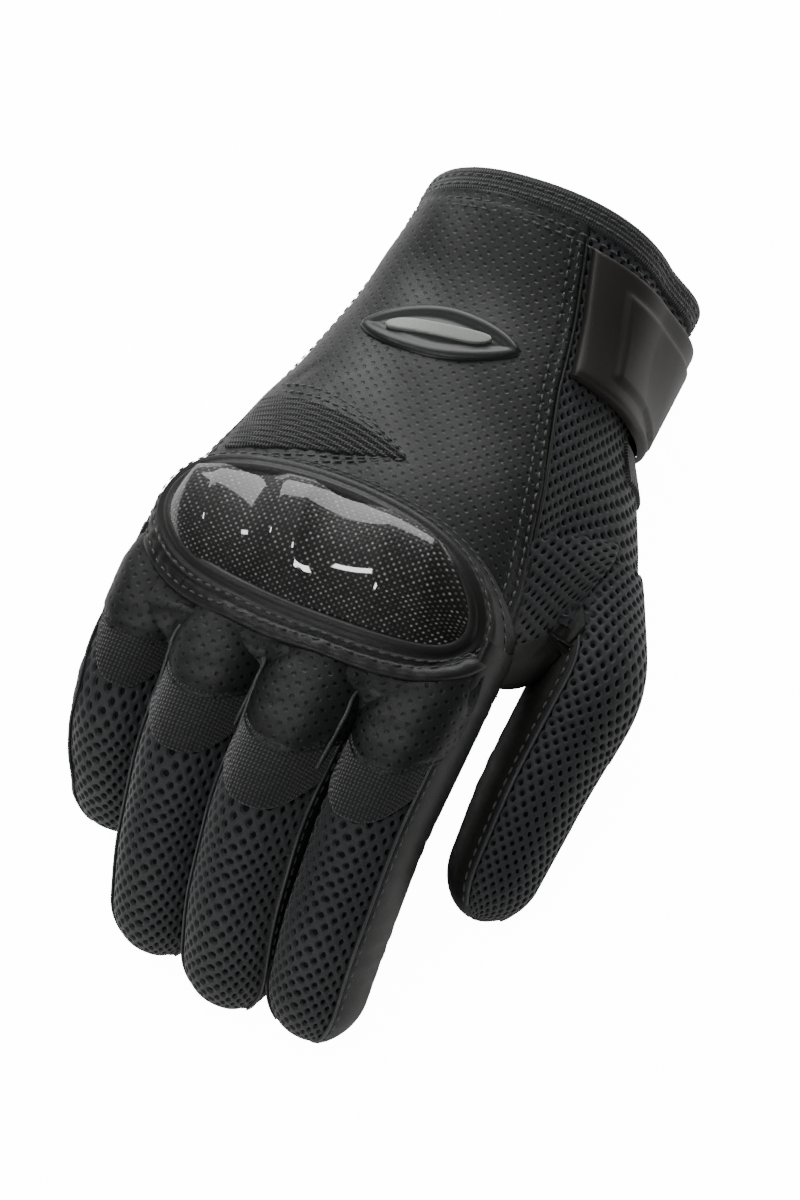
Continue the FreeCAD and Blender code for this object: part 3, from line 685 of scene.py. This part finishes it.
def strapPlate(t, inside):  # inside: how far within the edge of the raised plate
    return strap["proud"] * dip(t - rad(86), rad(30)) + strap["plate"] * step01(inside / strap["slope"] + 0.5)


def anchorRelief(u, v, s, t, near, runU, runV):
    inside = np.minimum(np.minimum(runU - strap["frame"], runU[-1:] - strap["frame"] + 1 - runU), runV - 9.5)
    return strapPlate(t, inside)


def flapRelief(u, v, s, t, near, runU, runV):
    inside = np.minimum(np.minimum(runU, runU[-1:] - runU) - strap["frame"], runV[:, -1:] - runV - 8)
    return strapPlate(t, inside)


onHand("strap_anchor", strapDomain(None, strap["split"]), strapRubber, rise=strap["thick"], roll=1.3, step=0.8,
       base=strap["lift"], rolls="uUv", relief=anchorRelief, replaces=("strap_anchor",), slot="moulded_rubber")
panel("strap_flap", handSurface, strapDomain(strap["split"], strap["end"]), strapRubber, ("strap",),
      rise=strap["thick"], roll=1.3, step=1.0, base=strap["lift"], rolls="uUV", relief=flapRelief,
      replaces=("strap_flap",), slot="moulded_rubber")
panel("strap_pull_tab", handSurface, between((-14.5, rad(178)), (-38, rad(203))), strapRubber, ("strap",), rise=1.4,
      base=3.4, replaces=("strap_pull_tab",), slot="moulded_rubber",
      relief=lambda u, v, s, t, near, a, b: 0.3 * np.sin(b * 2 * math.pi / 2.2) * step01(near / 3))
onHand("loop_patch", between((-44, rad(88)), (-54, rad(104))), knit, rise=0.7, base=0.7, step=0.9, roll=0.7,
       slot="ribbed_knit")
print("strap")

# the hand's top and the finger ridges, seen over the plan
fingerNames = ("index", "middle", "ring", "pinky")
fingerSize = {"index": (12.1, 10.6), "middle": (12.0, 10.7), "ring": (11.8, 10.5), "pinky": (11.2, 9.9)}
knuckles = {name: (joints[f"{name}_knuckle"], joints[f"{name}_mid"]) for name in fingerNames}


def handTop(x, y):
    a, b, shift, centre = (soften(y, key) for key in ("half", "rise", "shift", "centre"))
    return centre + b * np.clip(1 - np.abs((x - shift) / a) ** 2.3, 0.0004, 1) ** (1 / 2.3)


def ridge(x, y):
    total, crest = 0, []
    for name in fingerNames:
        first, second = knuckles[name]
        t = (first[1] - y) / (first[1] - second[1])
        cx, cz = first[0] + (second[0] - first[0]) * t, first[2] + (second[2] - first[2]) * np.clip(t, -0.25, 2)
        r = fingerSize[name][0] + 1.9
        away = np.abs(x - cx)
        z = cz + np.sqrt(np.clip(r * r - away ** 2, 0.01, None)) - 1.6 * np.clip(away - r, 0, None)
        total = total + np.exp(np.clip(z, -20, 60) / 1.4)
        crest.append((cx, cz + r))
    z = np.log(total) * 1.4
    centres, tops = np.array([c[0] + 0 * x for c in crest]), np.array([c[1] + 0 * x for c in crest])
    level = tops[0]
    for i in range(3):
        t = np.clip((centres[i] - x) / (centres[i] - centres[i + 1]), 0, 1)
        level = np.where(x < centres[i], tops[i] + (tops[i + 1] - tops[i]) * t, level)
    overFingers = (x < centres[0]) & (x > centres[3])
    return z, np.where(overFingers, level, z)


bridge = {"start": -125, "back": -137.5, "grow": 12.0, "valley": 9.0, "pinky": -46.5, "index": 49.0,
          "x": (-46, -35, -24, -12, 0, 12.5, 24, 37, 49),
          "front": (-138, -145, -146, -147, -149, -149, -148, -145, -140)}


def groundTop(x, y):
    z, level = ridge(x, y)
    grown = step01((bridge["back"] - y) / bridge["grow"])
    front = level * (1 - grown) + np.maximum(z, level - bridge["valley"]) * grown
    share = step01((-118 - y) / 10)
    return handTop(x, y) * (1 - share) + np.maximum(front, handTop(x, y) - 8) * share


ground = overPlan(groundTop)

# knuckle guard: a carbon shell with three raised lobes
guard = {"x": 1.2, "y": -116.0, "long": 41.0, "deep": 17.0, "lean": 7.0, "full": 0.40, "lobes": (-29.5, -5.5, 23.5),
         "widths": (8.2, 7.6, 13.0), "raise": 5.0}


def guardPlan(a, b):
    x, y = a * np.sqrt(1 - guard["full"] * b * b), b * np.sqrt(1 - guard["full"] * a * a)
    return guard["x"] + x * guard["long"] - guard["lean"] * y, guard["y"] + y * guard["deep"]


def outlinePoints():
    line = np.linspace(-1, 1, 181)[:-1]
    a = np.concatenate([line, 1 + 0 * line, -line, -1 + 0 * line])
    b = np.concatenate([-1 + 0 * line, line, 1 + 0 * line, -line])
    points = np.stack(guardPlan(a, b), -1)
    for _ in range(60):  # rounds the four corners
        points = (np.roll(points, 3, 0) + points * 2 + np.roll(points, -3, 0)) / 4
    return points


outline = outlinePoints()
tangent = np.roll(outline, -4, 0) - np.roll(outline, 4, 0)
outward = np.stack([tangent[:, 1], -tangent[:, 0]], -1) / np.linalg.norm(tangent, axis=1, keepdims=True)
around = np.concatenate([[0], np.cumsum(gaps(np.vstack([outline, outline[:1]])))])
around /= around[-1]


def guardEdge(share, grow):
    points = [np.interp(share % 1.0, around, np.append(table, table[0])) for table in
              (outline[:, 0], outline[:, 1], outward[:, 0], outward[:, 1])]
    return points[0] + points[2] * grow, points[1] + points[3] * grow


def domeTop(x, y):
    return 36.2 - 0.0088 * (y + 110) ** 2 - (x / 46) ** 2 * 8.0 - (np.abs(x) / 46) ** 6 * 4.5


dome = overPlan(domeTop)


def guardRelief(u, v, s, t, near, runU, runV):
    lobes = sum(dip(s + 0.25 * (t + 116) - c, w) ** 1.3 for c, w in zip(guard["lobes"], guard["widths"]))
    lobes = np.clip(lobes * 1.25, 0, 1)
    quick = np.sqrt(1 - (1 - np.clip(near / 12, 0, 1)) ** 2)
    slow = step01((-t - 98) / 24)
    front = 1 - 0.5 * step01((-t - 114) / 20)
    return guard["raise"] * quick * front * (lobes + (1 - lobes) * (0.36 + slow * 0.40))


def weavePlan(place):
    drop = np.clip(38 - place[:, 2], 0, None) * step01((-117 - place[:, 1]) / 7)
    return np.stack([place[:, 0], place[:, 1] - 0.8 * drop], -1)


panel("knuckle_guard", dome, lambda u, v: guardPlan(2 * u - 1, 2 * v - 1), carbon, handMove, rise=1.2, roll=2.4,
      base=-1.8, step=0.7, relief=guardRelief, plan=weavePlan, replaces=("knuckle_guard",), slot="carbon_shell")
print("guard")

# stitched leather ring round the guard, padded below
welt = {"inner": -2.6, "wide": 7.0, "grooves": (3.4, 6.0)}


def outlineGap(x, y):
    gap = np.full(np.shape(x), 1e9)
    for i in range(0, len(outline), 4):
        gap = np.minimum(gap, np.hypot(x - outline[i, 0], y - outline[i, 1]))
    return gap


def weltTop(x, y):
    share = step01(np.clip(outlineGap(x, y) - 0.8, 0, None) / (welt["wide"] - 1.5))
    return (domeTop(x, y) + 0.8) * (1 - share) + (groundTop(x, y) + 0.2) * share


weltSurface = overPlan(weltTop)


def weltRelief(u, v, s, t, near, runU, runV):
    pucker = 0.18 * np.sin(u * 2 * math.pi * 46 + 2 * np.sin(u * 40)) * dip(runV - 7.6, 1.5)
    return pucker + sum(-0.8 * dip(runV - groove, 0.55) for groove in welt["grooves"])


panel("knuckle_welt", weltSurface, lambda u, v: guardEdge(u, welt["inner"] + (welt["wide"] - welt["inner"]) * v),
      goatskin, handMove, rise=1.5, roll=1.4, step=0.75, rolls="vV", relief=weltRelief,
      replaces=("knuckle_welt", "knuckle_padding"), slot="welt_leather")
turns = np.linspace(0, 1, 160)
runs = [(weltSurface, *guardEdge(turns, welt["inner"] + groove + 1.1), 1.6) for groove in welt["grooves"]]
stitches("welt_stitches", runs, handMove)

# leather in front of the guard, drawn in between the fingers; it starts tucked under the ring
frontX, frontY = guardEdge(np.linspace(0, 1, 361)[:-1], welt["wide"])
order = [i for i in np.argsort(frontX) if frontY[i] < guard["y"] - 4]
frontX, frontY = frontX[order], frontY[order]


def tucked(x, y):
    ahead = np.interp(x, frontX, frontY) - y
    return 1.2 * (1 - step01((ahead + 1.5) / 9)) + 4.0 * (1 - step01((ahead + 7.0) / 4))


webs = [(knuckles[a][0] + knuckles[b][0]) / 2 for a, b in zip(fingerNames, fingerNames[1:])]


def bridgeDomain(u, v):
    x = bridge["pinky"] + (bridge["index"] - bridge["pinky"]) * u
    far = np.interp(x, bridge["x"], bridge["front"])
    return x, bridge["start"] + (far - bridge["start"]) * v


def bridgeRelief(u, v, s, t, near, runU, runV):
    creases = sum(0.35 * np.sin((t + 130) * 1.5 + i) * dip(s - web[0], 5) for i, web in enumerate(webs))
    return creases * step01(v * 3) + 0.9 - tucked(s, t) - 1.9 * step01((v - 0.6) / 0.4)


panel("knuckle_bridge", ground, bridgeDomain, goatskinHoles, handMove, rise=0.0, rolls="", step=0.9,
      relief=bridgeRelief, slot="goatskin_back")
print("welt and bridge")

# a plain badge: a soft lens with a raised rim and a bar across it
badge = {"x": -2.0, "y": -46.0, "turn": rad(6), "long": 20.5, "wide": 8.0, "bar": 13.0, "barWide": 1.9, "lean": 0.9}


def badgeDomain(long, wide, blunt, lean=0.0):
    def domain(u, v):
        a, b = 2 * u - 1, 2 * v - 1
        y = b * wide * np.clip(1 - np.abs(a) ** blunt, 0.03, 1) ** 0.6
        x = a * long + lean * y
        c, s = math.cos(badge["turn"]), math.sin(badge["turn"])
        py = badge["y"] + x * s + y * c
        return py, angleOf(badge["x"] + x * c - y * s, py)
    return domain


onHand("emblem_patch", badgeDomain(badge["long"], badge["wide"], 1.7), emblemRubber, rise=1.4, roll=1.6, step=0.7,
       base=0.8, replaces=("emblem_patch",), slot="moulded_rubber",
       relief=lambda u, v, s, t, near, a, b: -0.5 * step01((near - 2.2) / 2.2) + 0.4 * step01((near - 4.6) / 2))
onHand("reflective_bar", badgeDomain(badge["bar"], badge["barWide"], 8, badge["lean"]), reflective, rise=0.35,
       roll=0.5, step=0.6, base=2.3, replaces=("reflective_bar",), slot="reflective_film")

# palm side
onHand("heel_pad", between((-46, rad(192)), (-78, rad(232))), suede, rise=1.8, roll=2.6, base=0.7,
       replaces=("heel_pad",), slot="suede_overlay", fill=0.6)
onHand("palm_overlay", between((-91, rad(125)), (-117, rad(236))), suede, rise=0.7, roll=1.2, base=0.7,
       replaces=("palm_overlay",), slot="suede_overlay")
runs = [(handSurface, (-48.5, -75.5), rad(turn), 2.6) for turn in (194.5, 229.5)]
runs += [(handSurface, y, np.linspace(rad(127), rad(234), 30), 1.5) for y in (-93.5, -114.5)]
stitches("palm_stitches", runs, handMove)
print("badge and palm")

# fingers: leather tongue, knit and air mesh on the back, leather sides and palm
finger = {
    "index": {"mesh": (-62, 48), "tongue": 27, "knit": 37},
    "middle": {"mesh": (-66, 66), "tongue": 27, "knit": 37},
    "ring": {"mesh": (-66, 66), "tongue": 24, "knit": 34},
    "pinky": {"mesh": (-46, 64), "tongue": 17, "knit": 24},
}
tubes = {}
webEdge = rad(54)
for name in fingerNames:
    chain = [joints[f"{name}_{part}"] for part in ("knuckle", "mid", "end")]
    low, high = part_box(f"{name}_distal_palm")
    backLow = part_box(f"{name}_distal_back")[0]
    base, end = fingerSize[name]
    reach = end + 0.6
    lowest, ahead = min(low.z, backLow.z) * 1000, min(low.y, backLow.y) * 1000
    tip = np.array([(low.x + high.x) * 500 - (0.8 if name == "index" else 0), ahead + reach, lowest + reach])
    wide = (base, base * 0.99, base * 0.975, base * 0.95, base * 0.93, end)
    tube = Finger(chain + [tip], wide, tuple(w + 0.7 for w in wide[:-1]) + (end,), cap=end * 1.3, square=0.86)
    tubes[name] = tube
    a, b, c = tube.knots[1], tube.knots[2], tube.end
    zoneEnds = (-12, a / 2 + 1, (a + b) / 2, c)
    bodies = (("hand", f"{name}_proximal", 0), (f"{name}_proximal", f"{name}_middle", a),
              (f"{name}_middle", f"{name}_distal", b))
    meshLow, meshHigh = (rad(turn) for turn in finger[name]["mesh"])
    tongueEnd, knitEnd = finger[name]["tongue"], finger[name]["knit"]
    outerWave = rad(9) if name == "pinky" else 0
    for i, (first, second, knot) in enumerate(bodies):
        s0, s1 = zoneEnds[i], zoneEnds[i + 1]
        letter, part, last = "abc"[i], ("proximal", "middle", "distal")[i], i == 2
        motion = (first, second, *bendZone(tube, knot, 8.5))
        # the finger's inside is near-black painted shade, seen through the mesh holes
        panel(f"{name}_inner_{letter}", tube, between((max(s0, 1), rad(-180)), (s1, rad(180))), holeShade, motion,
              base=-0.5, count=24, **lined)
        panel(f"{name}_{part}_palm", tube, between((s0, rad(108)), (s1, rad(252))), palmLeather, motion, rise=0.7,
              rolls="vV", count=22, base=0.05, replaces=(f"{name}_{part}_palm",), slot="goatskin_palm",
              relief=creased(knot, 0.3, 1.1, 7))
        for side, sign in (("thumb", 1), ("outer", -1)):
            inner = meshHigh if sign > 0 else meshLow
            wave = outerWave if sign < 0 else 0

            def sideDomain(u, v, s0=s0, s1=s1, sign=sign, inner=inner, wave=wave):
                s = s0 + (s1 - s0) * u
                near = inner + wave * np.sin(s * 0.30)
                low, high = (near, rad(112)) if sign > 0 else (rad(-112), near)
                return s, low + (high - low) * v

            panel(f"{name}_side_{side}_{letter}", tube, sideDomain, goatskin, motion, rise=1.1, roll=1.1,
                  rolls="vV", count=12, slot="goatskin_back", relief=creased(knot, 0.12, 1.2, 8, skew=3))
        meshFrom = max(s0, knitEnd - 9)
        if meshFrom < s1:
            span = c - (knitEnd - 9)
            window = ((meshFrom - knitEnd + 9) / span, (s1 - knitEnd + 9) / span)

            def meshDomain(u, v, span=span, start=knitEnd - 9, low=meshLow, high=meshHigh):
                return start + span * u, low + (high - low) * (1.06 * v - 0.03)

            meshPanel(f"{name}_mesh_{letter}", tube, meshDomain, motion, (span, 0.212 * (meshHigh - meshLow) * 57),
                      window, replaces=(f"{name}_{part}_back",), slot="air_mesh")
        if i == 0:
            def knitDomain(u, v, start=tongueEnd - 13, end=knitEnd, low=meshLow, high=meshHigh):
                far = end - 8.5 * np.abs(2 * v - 1) ** 2.2
                return start + (far - start) * u, low + (high - low) * v

            panel(f"{name}_knit", tube, knitDomain, knit, motion, rise=0.6, roll=0.9, base=0.75, step=0.8,
                  rolls="U", relief=lambda u, v, s, t, near, a, b: 0.1 * np.sin(a * 5), slot="ribbed_knit",
                  replaces=(f"{name}_{part}_back",))

            def tongueDomain(u, v, start=-9, end=tongueEnd, scallop=9.5, low=meshLow, high=meshHigh):
                across = 2 * v - 1
                s = start + (end - scallop * np.abs(across) ** 2.3 - start) * u
                narrow = 1 - 0.30 * step01((s - 10) / (end - 10))
                middle = (low + high) / 2 * 0.5
                half = rad(86) if high > rad(50) else rad(76)
                return s, middle + across * half * narrow

            def tongueRelief(u, v, s, t, near, runU, runV, tube=tube):
                place = tube(s, t, 0 * s)
                crease = 0.12 * np.sin(s * 1.05 + 1.5 * np.sin(2 * t)) * dip(s - 13, 7)
                edge = 0.6 * step01(near / 8) - 0.45 * dip(near - 2.2, 0.6)
                return crease + edge - tucked(place[..., 0], place[..., 1])

            panel(f"{name}_knuckle_pad", tube, tongueDomain, goatskinHoles, motion, rise=1.0, roll=1.6, base=0.5,
                  step=0.9, rolls="UvV", relief=tongueRelief, replaces=(f"{name}_knuckle_pad",),
                  slot="goatskin_back", fill=0.5)
            line = np.linspace(11.5, 26, 16)
            turns = [webEdge] * (name != "index") + [-webEdge] * (name != "pinky")  # none on the outer sides
            paths = [tube(line, turn, 2.4 - (line - 11.5) * 0.09) for turn in turns]
            cords(f"{name}_bound_edge", paths, 0.5, litEdge, motion)
        line = np.linspace(max(s0, 4), s1 if not last else c - 9, 30)
        wavy = meshLow + outerWave * np.sin(line * 0.30)
        runs = [(tube, line, meshHigh + rad(9), 1.1), (tube, line, wavy - rad(9), 1.1)]
        stitches(f"{name}_stitches_{letter}", runs, motion)
        paths = [tube(line, meshHigh + rad(2), 1.15), tube(line, wavy - rad(2), 1.15)]
        cords(f"{name}_piping_{letter}", paths, 0.36, litEdge, motion)
print("fingers")

# the bound edge that turns back at each web
paths = []
for left, right in zip(fingerNames[1:], fingerNames):
    first, second = tubes[left]((13.0, 10.5), webEdge, 2.4), tubes[right]((10.5, 13.0), -webEdge, 2.4)
    apex = (first[-1] + second[0]) / 2 + np.array([0, 3.2, 1.6])
    shoulder = [first[-1] * 0.55 + apex * 0.45 + np.array([-0.5, 0, 0.5]), apex,
                second[0] * 0.55 + apex * 0.45 + np.array([0.5, 0, 0.5])]
    paths.append([*first, *shoulder, *second])
cords("web_edges", paths, 0.5, litEdge, handMove)

# thumb
thumb = {"root": (51.0, -84.0, -9.5), "wide": (13.4, 13.0, 12.6, 12.1, 11.6, 10.6), "twist": rad(66),
         "edge": rad(71), "inward": 1.2, "reach": 11.2}
low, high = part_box("thumb_distal_palm")
knuckle, mid = joints["thumb_knuckle"], joints["thumb_mid"]
tip = np.array([(low.x + high.x) * 500 - 2 * thumb["inward"], low.y * 1000 + thumb["reach"],
                low.z * 1000 + thumb["reach"]])
chain = [thumb["root"], knuckle - [0.6, 0, 0], mid - [thumb["inward"], 0, 0], tip]
tube = Finger(chain, thumb["wide"], thumb["wide"], bend=10, twist=thumb["twist"], lead=8, cap=13.0)
a, b, c = tube.knots[1], tube.knots[2], tube.end
edge = thumb["edge"]


# gusset between the seam of the back and the inner edge of the thumb: mesh above, leather in the fork
gusset = {"start": -87, "long": 38, "thumbStart": -8, "thumbLong": 24, "turn": rad(44)}


def gussetSurface(p, q, h):
    p, q, h = np.broadcast_arrays(np.asarray(p, float), q, h)
    y = gusset["start"] - gusset["long"] * p
    fromSeam = handSurface(y, seamAngle(y) - rad(0.5), 0.6)
    turn = gusset["turn"] * (1 - step01(p * 1.15)) - edge + rad(2)
    toThumb = tube(gusset["thumbStart"] + gusset["thumbLong"] * p, turn, 1.3 - 0.3 * p)
    flat = fromSeam * (1 - q[..., None]) + toThumb * q[..., None]
    sag = np.sin(math.pi * q) * (9.0 * p * p - 2.0)
    return flat + np.stack([0 * h, -0.3 * sag, h - sag], -1)


gussetMove = ("hand", "thumb_proximal", *bendZone(tube, a, 9))
meshPanel("thumb_gusset_mesh", gussetSurface, lambda u, v: (0.78 * u, v), gussetMove, (29.0, 18.0), base=0.5,
          slot="air_mesh")
panel("thumb_gusset", gussetSurface, lambda u, v: (0.74 + 0.28 * u, 1.04 * v), palmLeather, gussetMove, rise=1.1,
      roll=1.0, count=30, rolls="uU", slot="goatskin_back",
      relief=lambda u, v, s, t, near, p, q: 0.35 * np.sin(9 * u + 5 * v) * np.sin(math.pi * v))
for i, (first, second, knot, s0, s1) in enumerate((("hand", "thumb_proximal", a, -4, (a + b) / 2),
                                                   ("thumb_proximal", "thumb_distal", b, (a + b) / 2, c))):
    letter, part = "ab"[i], ("proximal", "distal")[i]
    motion = (first, second, *bendZone(tube, knot, 9))
    # the thumb's inside is near-black painted shade, seen through the mesh holes
    panel(f"thumb_inner_{letter}", tube, between((s0, rad(-180)), (s1, rad(180))), holeShade, motion, base=-0.5,
          count=24, **lined)
    panel(f"thumb_{part}_palm", tube, between((s0, edge - rad(2)), (s1, rad(360) - edge + rad(2))), palmLeather,
          motion, rise=1.0, rolls="vV", count=44, replaces=(f"thumb_{part}_palm",), slot="goatskin_palm",
          relief=creased(knot, 0.14, 1.0, 9, skew=1, groove=0.3))
    span = c + 4
    window = ((s0 + 4) / span, (s1 + 4) / span)
    meshPanel(f"thumb_mesh_{letter}", tube, lambda u, v, m=span, e=edge: (-4 + m * u, (-e + 2 * e * v) * 1.03),
              motion, (span, 32.0), window, base=0.4 if i else 0.6,
              replaces=(f"thumb_{part}_back",) + (("thumb_root_mesh",) if i == 0 else ()), slot="air_mesh")
    line = np.linspace(9 if i == 0 else s0, s1 if i == 0 else c - 8, 40)
    runs = [(tube, line, turn, 1.05) for turn in (edge + rad(8), -edge - rad(8))]
    stitches(f"thumb_stitches_{letter}", runs, motion)
    cords(f"thumb_piping_{letter}", [tube(line, turn, 1.0) for turn in (edge, -edge)], 0.4, litEdge, motion)
print("thumb")

studio = {"wall": (-0.62, 0.70, 0.36), "dim": 0.06, "bright": 0.3, "floorGlow": 14.0, "floorGap": 0.0015}
floorHeight = min(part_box(name)[0].z for name in frame["nodes"]) - studio["floorGap"]
bm = bmesh.new()
bmesh.ops.create_grid(bm, x_segments=1, y_segments=1, size=3.0)
floorMesh = bpy.data.meshes.new("floor")
bm.to_mesh(floorMesh)
bm.free()
floor = addObject("floor", floorMesh)
floor.location = (0, 0, floorHeight)
pale, tree, shader = newMaterial("pale floor", {"Base Color": colour("#f4f4f3"), "Roughness": 0.9,
                                                "Specular IOR Level": 0.0, "Emission Color": (1, 1, 1, 1)})
seen = addNode(tree, "LightPath").outputs["Is Camera Ray"]
tree.links.new(maths(tree, "MULTIPLY", seen, studio["floorGlow"]), shader.inputs["Emission Strength"])
floor.data.materials.append(pale)

# a dim room with one broad bright wall behind and to the left
world = bpy.data.worlds.new("studio")
world.use_nodes = True
tree = world.node_tree
way = addNode(tree, "TexCoord").outputs["Generated"]
towards = vectors(tree, "DOT_PRODUCT", way, studio["wall"])["Value"]
glow = addNode(tree, "MapRange", None, {"From Min": 0.35, "From Max": 0.9, "To Min": studio["dim"],
                                                  "To Max": studio["bright"]}, {"Value": towards})
tree.links.new(glow.outputs[0], tree.nodes["Background"].inputs["Strength"])
tree.nodes["Background"].inputs["Color"].default_value = (1, 1, 1, 1)
bpy.context.scene.world = world
aim = Vector((0.01, -0.1, 0.0))
lamps = {  # direction, distance, width, height, power, seen in reflections
    "wall": ((-0.34, 0.86, 0.50), 1.15, 1.3, 0.60, 12, True),
    "overhead": ((0.1, 0.0, 1.0), 1.5, 1.2, 1.2, 15, False),
    "spotFar": ((-0.64, 0.00, 0.77), 1.1, 0.08, 0.08, 0.8, True),
    "spotLeft": ((-0.32, -0.10, 0.94), 1.1, 0.08, 0.08, 0.8, True),
    "spotRight": ((-0.10, -0.26, 0.96), 1.1, 0.06, 0.10, 0.9, True),
    "front": ((-0.28, -0.95, 0.42), 1.2, 0.6, 0.4, 3.2, True),
}
for name, (way, far, wide, tall, power, seen) in lamps.items():
    lamp = bpy.data.lights.new(name, "AREA")
    lamp.shape = "RECTANGLE"
    lamp.size, lamp.size_y, lamp.energy = wide, tall, power
    holder = addObject(name, lamp)
    holder.location = aim + Vector(way).normalized() * far
    holder.rotation_mode = "QUATERNION"
    holder.rotation_quaternion = Vector(way).to_track_quat("Z", "Y")
    holder.visible_glossy = seen
print("studio")
